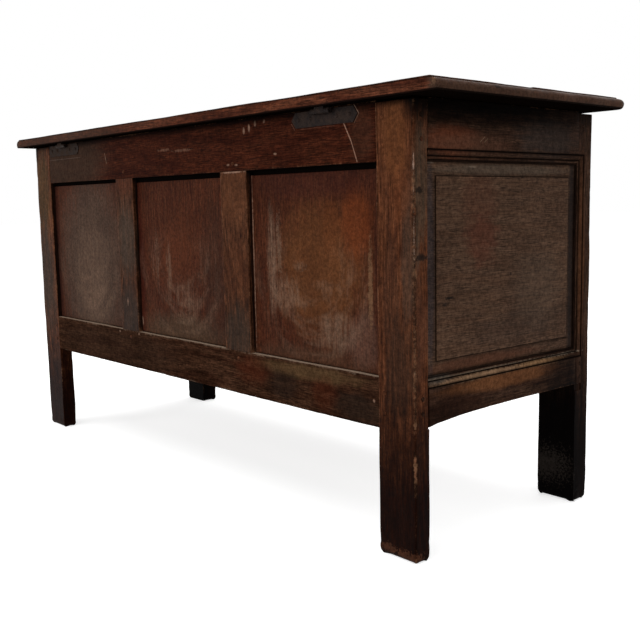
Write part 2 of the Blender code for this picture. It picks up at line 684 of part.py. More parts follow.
lid_rear_board = lid_board("lid_rear_board", (LID_JOINT_Y + FIT / 2, LID_Y[1]), False)
lid_front_board = lid_board("lid_front_board", (LID_Y[0], LID_JOINT_Y - FIT / 2), True)
tongue = (grown(LID_X, -LID_TONGUE_STOP), around(LID_JOINT_Y, 2 * LID_TONGUE),
          around(LID_UNDER + LID_THICK / 2, LID_TONGUE_THICK))
boolean(lid_rear_board, block("lid_tongue", *tongue), "UNION")
cut(block("lid_tongue_groove", *(grown(span, FIT) for span in tongue)), lid_front_board)


# Hinges
def nail(name, seat, inward, iron, wood):
    """A nail's shape, standing on the iron, after its hole has been cut in the wood."""
    seat, inward = Vector(seat), Vector(inward)
    breadth = (Vector((1.0, 0.0, 0.0)) + inward.cross(Vector((1.0, 0.0, 0.0)))) / 2

    def shank(shape, thick, start, end):
        one = seat + inward * start - breadth * thick
        two = seat + inward * end + breadth * thick
        cuboid(shape, [min(pair) for pair in zip(one, two)], [max(pair) for pair in zip(one, two)])

    hole = bmesh.new()
    shank(hole, NAIL_SHANK + 2 * FIT, -CUT_CLEAR, NAIL_LENGTH + FIT)
    cut(object_of(f"{name}_hole", hole, seat), wood, *iron)
    shape = bmesh.new()
    shank(shape, NAIL_SHANK, -FIT - NAIL_HEAD_HIGH / 2, NAIL_LENGTH)
    return shape


def nail_head(seat, inward, gap):
    """A nail's faceted head, a gap above the iron, or sunk into it where the gap is negative."""
    base = Vector(seat) - Vector(inward) * gap
    shape = bmesh.new()
    top = Vector(seat) - Vector(inward) * (FIT + NAIL_HEAD_HIGH)
    cylinder(shape, base, top, NAIL_HEAD_RADIUS, NAIL_HEAD_SIDES, NAIL_HEAD_TOP_RADIUS)
    return shape


def loose_nails(name, spots, inward, iron, wood, holder=None):
    """Nails that are pieces of their own, each through its hole in the iron."""
    for number, spot in enumerate(spots, 1):
        shank = nail(f"{name}_{number}", spot, inward, (iron,), wood)
        origin = holder.location if holder else spot
        head = object_of(f"{name}_{number}", nail_head(spot, inward, FIT), origin, IRON, holder)
        boolean(head, object_of(f"{name}_{number}_shank", shank, spot), "UNION")


def fast_nails(name, spots, inward, iron, wood):
    """Small nails that are one with the iron that they hold."""
    for number, spot in enumerate(spots, 1):
        shank = nail(f"{name}_{number}", spot, inward, (), wood)
        head = nail_head(spot, inward, -FIT)
        boolean(iron, object_of(f"{name}_{number}_shank", shank, spot), "UNION")
        boolean(iron, object_of(f"{name}_{number}_head", head, spot), "UNION")


def plate_outline(middle, grow):
    """The fixed leaf's outline on the back: a long plate with pointed ends and a notch for the knuckle."""
    half = PLATE_LENGTH / 2 + grow
    top = PLATE_TOP + grow
    low = PLATE_TOP - PLATE_HEIGHT - grow
    point = (low + top) / 2
    shoulder = half - PLATE_CLIP
    outline = [(-half, point), (-shoulder, low), (shoulder, low), (half, point), (shoulder, top)]
    if grow == 0.0:
        notch = KNUCKLE_LENGTH / 2 + KNUCKLE_GAP
        floor = PLATE_TOP - PLATE_NOTCH
        outline += [(notch, top), (notch, floor), (-notch, floor), (-notch, top)]
    outline.append((-shoulder, top))
    return [(middle + across, up) for across, up in outline]


def strap_outline(middle, grow):
    """The lid leaf's outline seen from below: narrow at the knuckle, then wider, and round at its tip."""
    rear = HINGE_Y + KNUCKLE_RADIUS + grow
    neck = LID_KNUCKLE_LENGTH / 2 + grow
    wide = STRAP_WIDTH / 2 + grow
    tip = HINGE_Y - STRAP_LENGTH - grow
    round_tip = STRAP_TIP_RADIUS + grow
    outline = [(neck, rear), (neck, HINGE_Y - STRAP_NECK), (wide, HINGE_Y - STRAP_SHOULDER)]
    for step in range(2 * ARC_STEPS + 1):
        turn = math.pi * step / (2 * ARC_STEPS)
        outline.append((round_tip * math.cos(turn), tip + round_tip * (1 - math.sin(turn))))
    outline += [(-wide, HINGE_Y - STRAP_SHOULDER), (-neck, HINGE_Y - STRAP_NECK), (-neck, rear)]
    return [(middle + across, along) for across, along in reversed(outline)]


def outline_piece(name, outline, low, high, normal, material=None):
    """An extruded flat outline as an object of its own: a cutter if it has no material."""
    shape = bmesh.new()
    flat_outline(shape, outline, low, high, normal)
    return object_of(name, shape, centre_of(shape), material)


def axis_bar(name, low, high, radius, material=None):
    """A round bar on the hinge axis."""
    shape = bmesh.new()
    cylinder(shape, (low, HINGE_Y, HINGE_Z), (high, HINGE_Y, HINGE_Z), radius, KNUCKLE_SIDES)
    return object_of(name, shape, centre_of(shape), material)


def hinge_plate(side, middle):
    """The fixed leaf, let into the top rail, with its two knuckles."""
    outline = plate_outline(middle, 0.0)
    plate = outline_piece(f"{side}_hinge_plate", outline, PLATE_BACK, PLATE_FACE, "Y", IRON)
    housing = outline_piece(f"{side}_plate_housing", plate_outline(middle, FIT), PLATE_BACK - FIT,
                            REAR_FACE + CUT_CLEAR, "Y")
    cut(housing, rear_top_rail)
    web_y = (PLATE_BACK + FIT, HINGE_Y - PIN_RADIUS)
    web_z = around(PLATE_TOP - PLATE_NOTCH, IRON_THICK)
    for way in (-1, 1):
        ends = (middle + way * KNUCKLE_LENGTH / 2, middle + way * (LID_KNUCKLE_LENGTH / 2 + KNUCKLE_GAP))
        boolean(plate, block(f"{side}_plate_web_{way}", sorted(ends), web_y, web_z), "UNION")
        boolean(plate, axis_bar(f"{side}_plate_knuckle_{way}", *sorted(ends), KNUCKLE_RADIUS), "UNION")
    return plate


def lid_strap(side, middle):
    """The lid's leaf, let into the rear board's underside, with its middle knuckle."""
    shape = bmesh.new()
    flat_outline(shape, strap_outline(middle, 0.0), LID_UNDER, LID_UNDER + IRON_THICK, "Z")
    strap = object_of(f"{side}_lid_strap", shape, HINGE_AXIS, IRON, LID)
    housing = outline_piece(f"{side}_strap_housing", strap_outline(middle, FIT), LID_UNDER - CUT_CLEAR,
                            LID_UNDER + IRON_THICK + FIT, "Z")
    cut(housing, lid_rear_board)
    ends = around(middle, LID_KNUCKLE_LENGTH)
    web_y = (HINGE_Y + PIN_RADIUS, HINGE_Y + KNUCKLE_RADIUS)
    web = block(f"{side}_strap_web", ends, web_y, (HINGE_Z, LID_UNDER + IRON_THICK))
    boolean(strap, web, "UNION")
    boolean(strap, axis_bar(f"{side}_strap_knuckle", *ends, KNUCKLE_RADIUS), "UNION")
    return strap


def hinge(side, middle):
    """One hinge: a leaf nailed on the back, a strap nailed under the lid, and the pin between them."""
    plate = hinge_plate(side, middle)
    strap = lid_strap(side, middle)
    ends = around(middle, KNUCKLE_LENGTH + 2 * PIN_PROUD)
    cut(axis_bar(f"{side}_pin_bore", *grown(ends, CUT_CLEAR), PIN_RADIUS + FIT), plate, strap)
    axis_bar(f"{side}_hinge_pin", *ends, PIN_RADIUS, IRON)
    nail_z = PLATE_TOP - PLATE_HEIGHT / 2
    spots = [(middle + offset, PLATE_FACE, nail_z) for offset in PLATE_NAIL_OFFSETS]
    loose_nails(f"{side}_plate_nail", spots, (0.0, -1.0, 0.0), plate, rear_top_rail)
    spots = [(middle, HINGE_Y - away, LID_UNDER) for away in STRAP_NAILS_FROM_AXIS]
    loose_nails(f"{side}_strap_nail", spots, (0.0, 0.0, 1.0), strap, lid_rear_board, LID)


hinge("left", -HALF_LENGTH + LEFT_HINGE_FROM_END)
hinge("right", HALF_LENGTH - RIGHT_HINGE_FROM_END)


# Lock, let on to the inside of the front top rail
def keyhole(name, y):
    """A keyhole's cutter: a round hole over a slot."""
    outline = []
    lowest = math.asin(KEYHOLE_SLOT_WIDTH / 2 / KEYHOLE_RADIUS)
    for step in range(ARC_STEPS * 3 + 1):
        turn = -math.pi / 2 + lowest + (2 * math.pi - 2 * lowest) * step / (ARC_STEPS * 3)
        outline.append((KEYHOLE_RADIUS * math.cos(turn), KEYHOLE_Z + KEYHOLE_RADIUS * math.sin(turn)))
    outline += [(-KEYHOLE_SLOT_WIDTH / 2, KEYHOLE_Z - KEYHOLE_SLOT_DROP),
                (KEYHOLE_SLOT_WIDTH / 2, KEYHOLE_Z - KEYHOLE_SLOT_DROP)]
    return outline_piece(name, outline, *y, "Y")


def lock_case():
    """An iron box that is open towards the rail, with ears, bolt guides, a key post and a staple slot."""
    x = around(0.0, LOCK_WIDTH)
    y = (LOCK_Y + FIT, LOCK_Y + LOCK_DEEP)
    z = (LOCK_TOP - LOCK_HEIGHT, LOCK_TOP)
    shape = bmesh.new()
    cuboid(shape, *zip(x, y, z))
    case = object_of("lock_case", shape, centre_of(shape), IRON)
    back = y[1] - LOCK_WALL / 2
    hollow_y = (y[0] - CUT_CLEAR, y[1] - LOCK_WALL)
    cut(block("lock_hollow", grown(x, -LOCK_WALL), hollow_y, grown(z, -LOCK_WALL)), case)
    for way in (-1, 1):
        ear_x = sorted((way * (x[1] - LOCK_WALL / 2), way * (x[1] + EAR_LENGTH)))
        ear_y = (y[0], y[0] + LOCK_WALL)
        boolean(case, block(f"lock_ear_{way}", ear_x, ear_y, around(sum(z) / 2, EAR_HEIGHT)), "UNION")
    guide_y = (LOCK_MIDDLE_Y - (BOLT_THICK + GUIDE_THICK) / 2, back)
    guide_z = around(BOLT_Z, BOLT_HEIGHT + 2 * GUIDE_THICK)
    for number, guide_x in enumerate(GUIDES_X):
        boolean(case, block(f"bolt_guide_{number}", around(guide_x, GUIDE_THICK), guide_y, guide_z), "UNION")
    passage_x = (GUIDES_X[0] - GUIDE_THICK, GUIDES_X[1] + GUIDE_THICK)
    cut(block("bolt_passage", passage_x, around(LOCK_MIDDLE_Y, BOLT_THICK + 2 * FIT),
              around(BOLT_Z, BOLT_HEIGHT + 2 * FIT)), case)
    slot_z = (LOCK_TOP - LOCK_WALL - CUT_CLEAR, LOCK_TOP + CUT_CLEAR)
    cut(block("staple_slot", around(STAPLE_ASIDE, STAPLE_THICK + 2 * STAPLE_ROOM),
              around(LOCK_MIDDLE_Y, STAPLE_WIDTH + 2 * STAPLE_ROOM), slot_z), case)
    post = bmesh.new()
    tip = LOCK_Y - KEY_POST_REACH
    cylinder(post, (0.0, back, KEYHOLE_Z), (0.0, tip, KEYHOLE_Z), KEY_POST_RADIUS, PEG_SIDES)
    boolean(case, object_of("key_post", post, centre_of(post)), "UNION")
    spots = [(way * (x[1] + EAR_LENGTH / 2), y[0] + LOCK_WALL, sum(z) / 2) for way in (-1, 1)]
    fast_nails("lock_nail", spots, (0.0, -1.0, 0.0), case, front_top_rail)


def lock_bolt():
    """The sliding bolt, with the notch that the key turns in. Its origin is at its tip."""
    bolt_x = (BOLT_TIP - BOLT_LENGTH, BOLT_TIP)
    shape = bmesh.new()
    cuboid(shape, *zip(bolt_x, around(LOCK_MIDDLE_Y, BOLT_THICK), around(BOLT_Z, BOLT_HEIGHT)))
    bolt = object_of("lock_bolt", shape, (BOLT_TIP, LOCK_MIDDLE_Y, BOLT_Z), IRON)
    low = BOLT_Z - BOLT_HEIGHT / 2
    notch = block("bolt_notch", around(-TALON_WIDTH / 2, TALON_WIDTH),
                  around(LOCK_MIDDLE_Y, BOLT_THICK + 2 * CUT_CLEAR), (low - CUT_CLEAR, low + TALON_HEIGHT))
    cut(notch, bolt)


def lid_staple():
    """The loop under the lid that drops into the lock, on its nailed plate."""
    top = LID_UNDER - FIT
    low = top - STAPLE_PLATE_THICK
    shape = bmesh.new()
    cuboid(shape, *zip(around(STAPLE_ASIDE, STAPLE_PLATE_LENGTH), around(LOCK_MIDDLE_Y, STAPLE_PLATE_WIDTH),
                       (low, top)))
    staple = object_of("lid_staple", shape, HINGE_AXIS, IRON, LID)
    loop = block("staple_loop", around(STAPLE_ASIDE, STAPLE_THICK), around(LOCK_MIDDLE_Y, STAPLE_WIDTH),
                 (LID_UNDER - STAPLE_DROP, (low + top) / 2))
    boolean(staple, loop, "UNION")
    eye_y = around(LOCK_MIDDLE_Y, BOLT_THICK + 2 * BOLT_ROOM)
    eye_z = around(BOLT_Z, BOLT_HEIGHT + 2 * BOLT_ROOM)
    cut(block("staple_eye", around(STAPLE_ASIDE, STAPLE_THICK + 2 * CUT_CLEAR), eye_y, eye_z), staple)
    spots = [(STAPLE_ASIDE + way * STAPLE_NAIL_OFFSET, LOCK_MIDDLE_Y, low) for way in (-1, 1)]
    fast_nails("staple_nail", spots, (0.0, 0.0, 1.0), staple, lid_front_board)


def escutcheon():
    """The keyhole plate on the front: a plain shield, nailed at its corners."""
    half = ESCUTCHEON_WIDTH / 2
    top = KEYHOLE_Z + ESCUTCHEON_ABOVE_KEYHOLE
    low = top - ESCUTCHEON_HEIGHT
    shoulder = low + ESCUTCHEON_SHOULDER_RISE
    point = low + ESCUTCHEON_POINT_RISE
    outline = [(-half, top), (half, top), (half, shoulder), (ESCUTCHEON_POINT_HALF, point), (0.0, low),
               (-ESCUTCHEON_POINT_HALF, point), (-half, shoulder)]
    back = FRONT_FACE - FIT
    front = back - ESCUTCHEON_THICK
    plate = outline_piece("escutcheon", outline, front, back, "Y", IRON)
    nail_x = half - ESCUTCHEON_NAIL_IN
    nail_z = top - ESCUTCHEON_NAIL_IN
    spots = [(-nail_x, front, nail_z), (nail_x, front, nail_z), (0.0, front, low + ESCUTCHEON_LOW_NAIL_UP)]
    fast_nails("escutcheon_nail", spots, (0.0, 1.0, 0.0), plate, front_top_rail)
    cut(keyhole("keyhole", (front - CUT_CLEAR, LOCK_Y + CUT_CLEAR)), plate, front_top_rail)


lock_case()
lock_bolt()
lid_staple()
escutcheon()
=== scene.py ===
# %% [markdown]
# # A panelled oak blanket chest
# This lesson dresses a joined oak coffer that is some three hundred years old. The frame holds its
# solids: four stiles that run down as legs, rails and muntins between them, thin panels in grooves,
# and a lid on iron hinges. Each solid here is redrawn as a finer surface, because what makes such a
# chest look old is small: arrises rubbed round, planed faces that are never quite flat, mouldings
# whose quirks are dark with dirt and painted shade, and feet that have been dragged over stone floors.

# %% Load the frame
import json
import math

import bpy
import numpy as np
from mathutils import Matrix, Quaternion, Vector

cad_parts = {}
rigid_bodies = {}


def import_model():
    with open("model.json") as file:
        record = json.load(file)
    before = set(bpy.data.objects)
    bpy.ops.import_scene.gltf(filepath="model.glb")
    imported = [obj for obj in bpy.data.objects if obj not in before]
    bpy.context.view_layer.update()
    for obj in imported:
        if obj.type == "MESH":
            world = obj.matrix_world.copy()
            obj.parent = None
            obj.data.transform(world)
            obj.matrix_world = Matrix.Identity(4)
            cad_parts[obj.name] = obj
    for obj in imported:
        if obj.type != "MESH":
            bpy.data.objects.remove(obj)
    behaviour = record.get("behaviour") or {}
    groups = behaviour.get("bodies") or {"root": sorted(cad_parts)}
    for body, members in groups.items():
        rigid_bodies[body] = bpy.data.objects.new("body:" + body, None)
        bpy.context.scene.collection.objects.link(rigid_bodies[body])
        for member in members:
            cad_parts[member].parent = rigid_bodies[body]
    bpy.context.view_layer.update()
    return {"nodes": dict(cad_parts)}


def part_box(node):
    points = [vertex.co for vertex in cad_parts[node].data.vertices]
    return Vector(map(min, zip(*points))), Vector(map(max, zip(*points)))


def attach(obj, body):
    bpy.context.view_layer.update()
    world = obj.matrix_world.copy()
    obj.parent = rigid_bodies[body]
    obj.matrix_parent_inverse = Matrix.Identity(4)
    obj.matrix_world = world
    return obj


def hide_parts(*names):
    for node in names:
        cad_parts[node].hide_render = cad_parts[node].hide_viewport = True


for old in list(bpy.data.objects):
    bpy.data.objects.remove(old, do_unlink=True)
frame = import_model()

# %% [markdown]
# ## Places
# The sizes could be typed in again, but then they could drift from the solids, so they are read from
# the frame. A shoulder is where a rail stops against a stile, and an opening is what two rails leave
# for a panel. Rails and muntins give the faces, because a stile's box is wider than its timber by the
# pegs, which stand a little proud, and a panel's box reaches into its grooves.

# %% Places read from the frame
X, Y, Z = 0, 1, 2


def span(node, axis):
    """A node's lowest and highest place along one axis."""
    low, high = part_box(node)
    return low[axis], high[axis]


REAR_FACE = span("rear_left_muntin", Y)[1]
FRONT_FACE = span("front_left_muntin", Y)[0]
END_FACE = span("right_end_top_rail", X)[1]
RAIL_THICK = REAR_FACE - span("rear_left_muntin", Y)[0]
RAIL_TOP = span("rear_top_rail", Z)[1]
STILE_TOP = span("rear_left_stile", Z)[1]
LONG_RAIL_LOW = span("rear_bottom_rail", Z)[0]
REAR_SHOULDERS = (span("rear_left_stile", X)[1], span("rear_right_stile", X)[0])
FRONT_SHOULDERS = (span("front_left_stile", X)[1], span("front_right_stile", X)[0])
END_SHOULDERS = (span("front_left_stile", Y)[1], span("rear_left_stile", Y)[0])
REAR_OPENING = (span("rear_bottom_rail", Z)[1], span("rear_top_rail", Z)[0])
MOULDED_OPENING = (span("front_bottom_rail", Z)[1], span("front_top_rail", Z)[0])
print("Carcass length and depth:", round(2 * END_FACE, 4), round(REAR_FACE - FRONT_FACE, 4))

# %% [markdown]
# ## The camera
# The camera comes before any piece. It stands behind the chest's left end, a little below the lid, and
# is rolled by about a degree. The lens is that of a short telephoto, and a small shift puts the middle
# of the view where the photograph has it.

# %% Camera
CAMERA_PLACE = Vector((-1.5558, 1.1716, 0.5481))
CAMERA_FORWARD = Vector((0.7389, -0.6615, -0.1284))
CAMERA_ROLL = math.radians(-0.96)
LENS = 50.48
SHIFT_X = -0.039

lens = bpy.data.cameras.new("camera")
lens.lens = LENS
lens.shift_x = SHIFT_X
camera = bpy.data.objects.new("camera", lens)
bpy.context.scene.collection.objects.link(camera)
camera.rotation_mode = "QUATERNION"
camera.location = CAMERA_PLACE
camera.rotation_quaternion = (CAMERA_FORWARD.to_track_quat("-Z", "Y")
                              @ Quaternion((0.0, 0.0, 1.0), CAMERA_ROLL))
bpy.context.scene.camera = camera
bpy.context.scene.view_settings.view_transform = "Standard"
print("Camera:", LENS, "mm lens,", round((CAMERA_PLACE - Vector((0, 0, 0.36))).length, 2), "m from the middle")

# %% [markdown]
# ## Surfaces from numbers
# Hand work wanders: a planed face swells, and an arris is rubbed more here than there. A texture could
# only shade that, so here it is a number worked out at every point, and the same number can move the
# surface and mark its wear. A sum of sine waves in seeded directions is smooth everywhere, and comes
# out the same on every run.

# %% Wandering values
WAVES_IN_OCTAVE = 4
RIPPLE_SCALE = 2.6


def ripple(points, wave, seed, octaves=3):
    """A smooth value of about -1 to 1: sine waves in seeded directions, each octave half as long."""
    dice = np.random.default_rng(seed)
    total = np.zeros(points.shape[:-1])
    for octave in range(octaves):
        for _ in range(WAVES_IN_OCTAVE):
            way = dice.normal(size=3)
            way *= 2 * math.pi * 2 ** octave / wave / np.linalg.norm(way)
            total += 0.5 ** octave * np.sin(points @ way + dice.uniform(0, 2 * math.pi))
    return total / RIPPLE_SCALE


def smoothstep(low, high, value):
    """0 below low, 1 above high, and an easy curve between: t squared times (3 - 2 t)."""
    t = np.clip((value - low) / (high - low), 0, 1)
    return t * t * (3 - 2 * t)


print("A ripple at three places:", ripple(np.eye(3), 1.0, 1).round(2))

# %% [markdown]
# A grid of points becomes a mesh when each point is joined to its neighbours along and across. Tools
# such as Bridge Edge Loops would do it by hand, and here it is one sum on a whole array. The piece
# then gets its finish and the values that its material reads at every point, and it is told which
# moving body carries it and which solid it stands for.

# %% From arrays to a piece
SHARP_ANGLE = math.radians(32)


def lattice(rows, columns, closed):
    """The four corners of each face of a grid of points, whose columns may close into a ring."""
    across = np.arange(columns if closed else columns - 1)
    one = np.arange(rows - 1)[:, None] * columns + across
    two = np.arange(rows - 1)[:, None] * columns + (across + 1) % columns
    return np.stack([one, two, two + columns, one + columns], -1).reshape(-1, 4)


def piece_of(name, points, faces, look, nodes, marks, body="carcass"):
    """A mesh piece that rides on a body and stands for nodes.

    Its look is a material and a slot name, of which only the material is used, and its marks are values at each
    point.
    """
    material, slot = look
    mesh = bpy.data.meshes.new(name)
    mesh.from_pydata(points.reshape(-1, 3).tolist(), [], faces)
    for label, values in marks.items():
        vector = values.ndim > 2 and values.shape[-1] == 3
        held = mesh.attributes.new(label, "FLOAT_VECTOR" if vector else "FLOAT", "POINT")
        held.data.foreach_set("vector" if vector else "value", values.reshape(-1).astype(np.float32))
    mesh.materials.append(material)
    mesh.shade_smooth()
    mesh.set_sharp_from_angle(angle=SHARP_ANGLE)
    piece = bpy.data.objects.new(name, mesh)
    bpy.context.scene.collection.objects.link(piece)
    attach(piece, body)
    if nodes:
        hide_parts(*nodes)
    return piece


print("Faces of a closed strip:", lattice(2, 4, True).tolist())

# %% [markdown]
# ## A squared timber
# A timber's surface is a section ring carried along the timber. The ring is a rectangle whose four
# corners are arcs, and the arcs' radius may change along the timber, which is how a rubbed arris
# looks. A cube with a Bevel modifier would have one even radius. All of it is worked out as whole
# arrays: one axis for the places along the timber, one for the points of the ring.

# %% The section
ARC_STEPS = 4
SHARP = 0.0005
FALLOFF = ((0.003, 0.4), (0.008, 0.0))


def section_ring(p, q, radius, lines):
    """Rings of a rounded rectangle, one for each row of radius: arcs at the corners, lines between.

    Each arc point is the arc's middle plus the radius times the cosine and sine of its angle. The
    result is places and outward normals in the section's plane, and how close each is to an arris.
    """
    corners = ((p[0], q[0], 1, 1), (p[1], q[0], -1, 1), (p[1], q[1], -1, -1), (p[0], q[1], 1, -1))
    places, normals, arris = [], [], []
    for corner, (edge_p, edge_q, in_p, in_q) in enumerate(corners):
        r = radius[:, corner]
        start = math.pi * (1 + corner / 2)
        rounded = r.mean() > SHARP
        for angle in np.linspace(start, start + math.pi / 2, (ARC_STEPS if rounded else 1) + 1):
            way = np.array([math.cos(angle), math.sin(angle)])
            middle = np.stack([edge_p + in_p * r, edge_q + in_q * r], -1)
            places.append(middle + r[:, None] * way)
            normals.append(np.broadcast_to(way, (len(r), 2)))
            arris.append(np.full(len(r), float(rounded)))
        along_p = corner % 2 == 0
        run = (p if along_p else q)
        length = run[1] - run[0]
        forward = corner < 2
        after = radius[:, (corner + 1) % 4]
        marks = []
        if rounded:
            marks += [(r + step, weight) for step, weight in FALLOFF]
        for place in lines[corner]:
            distance = place - run[0] if forward else run[1] - place
            marks.append((np.full(len(r), distance), 0.0))
        if after.mean() > SHARP:
            marks += [(length - after - step, weight) for step, weight in FALLOFF]
        marks.sort(key=lambda mark: mark[0].mean())
        way = np.array([math.cos(start + math.pi / 2), math.sin(start + math.pi / 2)])
        for distance, weight in marks:
            distance = np.clip(distance, r, length - after)
            place = run[0] + distance if forward else run[1] - distance
            other = np.full(len(r), edge_q if along_p else edge_p)
            places.append(np.stack([place, other] if along_p else [other, place], -1))
            normals.append(np.broadcast_to(way, (len(r), 2)))
            arris.append(np.full(len(r), weight))
    return np.stack(places, 1), np.stack(normals, 1), np.stack(arris, 1)


batten = section_ring((0, 0.04), (0, 0.02), np.full((1, 4), 0.002), [[], [], [], []])
print("Points round a batten:", batten[0].shape[1])

# %% [markdown]
# A sharp arris is the first thing that wear takes. Its radius starts from a base, drifts along the
# timber, and grows for a few millimetres wherever something has knocked it. Sculpting would give the
# same on one arris, and a sum of small bell curves gives it on all of them.

# %% Rubbed arrises
WANDER = 0.35
WANDER_WAVE = 0.11
WANDER_LIMITS = (0.45, 1.8)
DENTS_PER_METRE = 14
DENT_DEPTH = (0.2, 1.0)
DENT_LENGTH = (0.003, 0.010)
DENT_MOST = 0.0018


def worn_radius(stations, base, seed, along):
    """Each corner's radius at each station: its base, times a wandering factor, plus small dents."""
    dice = np.random.default_rng(seed)
    line = np.zeros((len(stations), 3))
    line[:, 0] = stations
    columns = []
    for corner, radius in enumerate(base):
        wander = 1 + WANDER * ripple(line, WANDER_WAVE, seed * 7 + corner, 4)
        dents = np.zeros(len(stations))
        for _ in range(int((along[1] - along[0]) * DENTS_PER_METRE)):
            middle = dice.uniform(*along)
            depth = dice.uniform(*DENT_DEPTH)
            dents += depth * np.exp(-((stations - middle) / dice.uniform(*DENT_LENGTH)) ** 2)
        worn = radius * np.clip(wander, *WANDER_LIMITS) + min(radius, DENT_MOST) * 0.8 * dents
        columns.append(worn if radius > SHARP else np.full(len(stations), radius))
    return np.stack(columns, -1)


sample = worn_radius(np.linspace(0, 0.3, 4), (0.0016,), 1, (0, 0.3))
print("An arris's radius along 0.3 m, in mm:", (1000 * sample[:, 0]).round(2))

# %% [markdown]
# The beam puts both together. Its stations lie closer where a moulding or a chip needs them, and at
# each end the ring draws in along a quarter circle, so that the end's arris is round as well. The
# whole surface swells by a wandering value, as oak does under a hand plane. A modifier stack would
# do these one after another, but then a shaping function couldn't mark dirt where it cuts.

# %% Squared timber
CROSS_AXES = ((Y, Z), (Z, X), (X, Y))
STATION_GAP = 0.009
END_MARGIN = 0.012
LINE_GAP = 0.014
SWELL_WAVE = 0.16
ROUND_END = 0.001
END_WEAR = 0.8


def even_lines(low, high, gap):
    """Places that divide a span evenly, without its ends."""
    count = max(2, int(round((high - low) / gap)))
    return list(np.linspace(low, high, count + 1)[1:-1])


def beam_rows(t, ends, stations):
    """Places along a timber, and how far the ring is drawn in at each, by a quarter circle at both ends."""
    inner = np.unique([*np.arange(t[0] + END_MARGIN, t[1] - END_MARGIN, STATION_GAP), *stations])
    inner = inner[(inner > t[0] + ends[0] * 1.3) & (inner < t[1] - ends[1] * 1.3)]
    turns = np.linspace(0, math.pi / 2, ARC_STEPS + 1)
    low = t[0] + ends[0] * (1 - np.sin(turns[::-1]))
    high = t[1] - ends[1] * (1 - np.sin(turns))
    inset = [ends[0] * (1 - np.cos(turns[::-1])), np.zeros(len(inner)), ends[1] * (1 - np.cos(turns))]
    return np.concatenate([low, inner, high]), np.concatenate(inset)


def beam(name, long, p, q, t, look, base=(0.0016,) * 4, lines=None, stations=(), ends=(0.0006, 0.0006),
         swell=0.00025, seed=1, shape=None):
    """A squared timber: section rings at stations along it, closed by a flat face at each end.

    It spans p and q across and t along. Base holds the arrises' radii, and lines the places of grid
    lines on a side, by its number: 0 at q's low end, 1 at p's high, 2 at q's high and 3 at p's low.
    """
    axis_p, axis_q = CROSS_AXES[long]
    rows, inset = beam_rows(t, ends, stations)
    full = []
    for side in range(4):
        run = (p, q)[side % 2]
        edge = FALLOFF[-1][0] + 2.5 * max(base)
        full.append((lines or {}).get(side) or even_lines(run[0] + edge, run[1] - edge, LINE_GAP))
    places, normals, arris = section_ring(p, q, worn_radius(rows, base, seed, t), full)
    places = places - normals * inset[:, None, None]
    points = np.zeros((*places.shape[:2], 3))
    points[..., long] = rows[:, None]
    points[..., axis_p], points[..., axis_q] = places[..., 0], places[..., 1]
    out = np.zeros_like(points)
    out[..., axis_p], out[..., axis_q] = normals[..., 0], normals[..., 1]
    points += out * (swell * ripple(points, SWELL_WAVE, seed + 50))[..., None]
    arris = np.maximum(arris, (inset > 0)[:, None] * END_WEAR * (max(ends) > ROUND_END))
    marks = {"arris": arris, "nook": np.zeros_like(arris)}
    if shape:
        points, marks = shape(points, marks)
    dice = np.random.default_rng(seed + 900)
    marks["grain"] = points[..., [long, axis_p, axis_q]] + dice.uniform(-3, 3, 3)
    marks["tone"] = np.full(arris.shape, dice.uniform(0, 1))
    count = points.shape[1]
    faces = lattice(len(rows), count, True).tolist()
    faces.append(list(range(count - 1, -1, -1)))
    faces.append(list(range((len(rows) - 1) * count, len(rows) * count)))
    return piece_of(name, points, faces, look, [name], marks)


print("Stations along a metre of timber:", len(beam_rows((0, 1), (0.0006, 0.0006), ())[0]))

# %% [markdown]
# ## Oak
# Materials are built from nodes, and a wood needs dozens of them. They could be dragged together in
# the shader editor. In a script, a helper for each common node keeps a material readable as a list of
# steps, and each helper hands back the output that the next step needs.

# %% Node helpers
def add(tree, kind, inputs=None, **settings):
    """A node with its settings, whose inputs are values or other nodes' outputs."""
    made = tree.nodes.new(kind)
    for label, value in settings.items():
        setattr(made, label, value)
    for label, value in (inputs or {}).items():
        if isinstance(value, bpy.types.NodeSocket):
            tree.links.new(value, made.inputs[label])
        else:
            made.inputs[label].default_value = value
    return made


def maths(tree, operation, one, two=0.5, clamp=False):
    """A sum, product or other operation on two values."""
    return add(tree, "ShaderNodeMath", {0: one, 1: two}, operation=operation, use_clamp=clamp).outputs[0]


def vectors(tree, operation, one, two, result=0):
    """An operation on two vectors, whose result 0 is a vector and 1 is a value."""
    return add(tree, "ShaderNodeVectorMath", {0: one, 1: two}, operation=operation).outputs[result]


def ramp(tree, value, low, high, start=0.0, end=1.0):
    """A value eased from start to end as the input goes from low to high."""
    made = add(tree, "ShaderNodeMapRange", {"Value": value, "From Min": low, "From Max": high,
                                            "To Min": start, "To Max": end},
               interpolation_type="SMOOTHSTEP", clamp=True)
    return made.outputs[0]


def blend(tree, factor, one, two, mode="MIX"):
    """Two colours mixed by a factor."""
    made = add(tree, "ShaderNodeMix", {0: factor, 6: one, 7: two}, data_type="RGBA", blend_type=mode)
    return made.outputs[2]


def noise(tree, vector, stretch, detail=3.0, rough=0.55, warp=0.0):
    """Noise read from a coordinate that is stretched by one number per metre, or by three."""
    stretch = stretch if isinstance(stretch, tuple) else (stretch,) * 3
    mapped = add(tree, "ShaderNodeMapping", {"Vector": vector, "Scale": stretch}).outputs[0]
    made = add(tree, "ShaderNodeTexNoise", {"Vector": mapped, "Scale": 1.0, "Detail": detail,
                                            "Roughness": rough, "Distortion": warp})
    return made.outputs[0]


print("Node helpers:", [helper.__name__ for helper in (add, maths, vectors, ramp, blend, noise)])

# %% [markdown]
# An effect that several woods share is a node group: built once, and placed in each material with its
# own values. Its sockets are made first, each with a name and a kind.

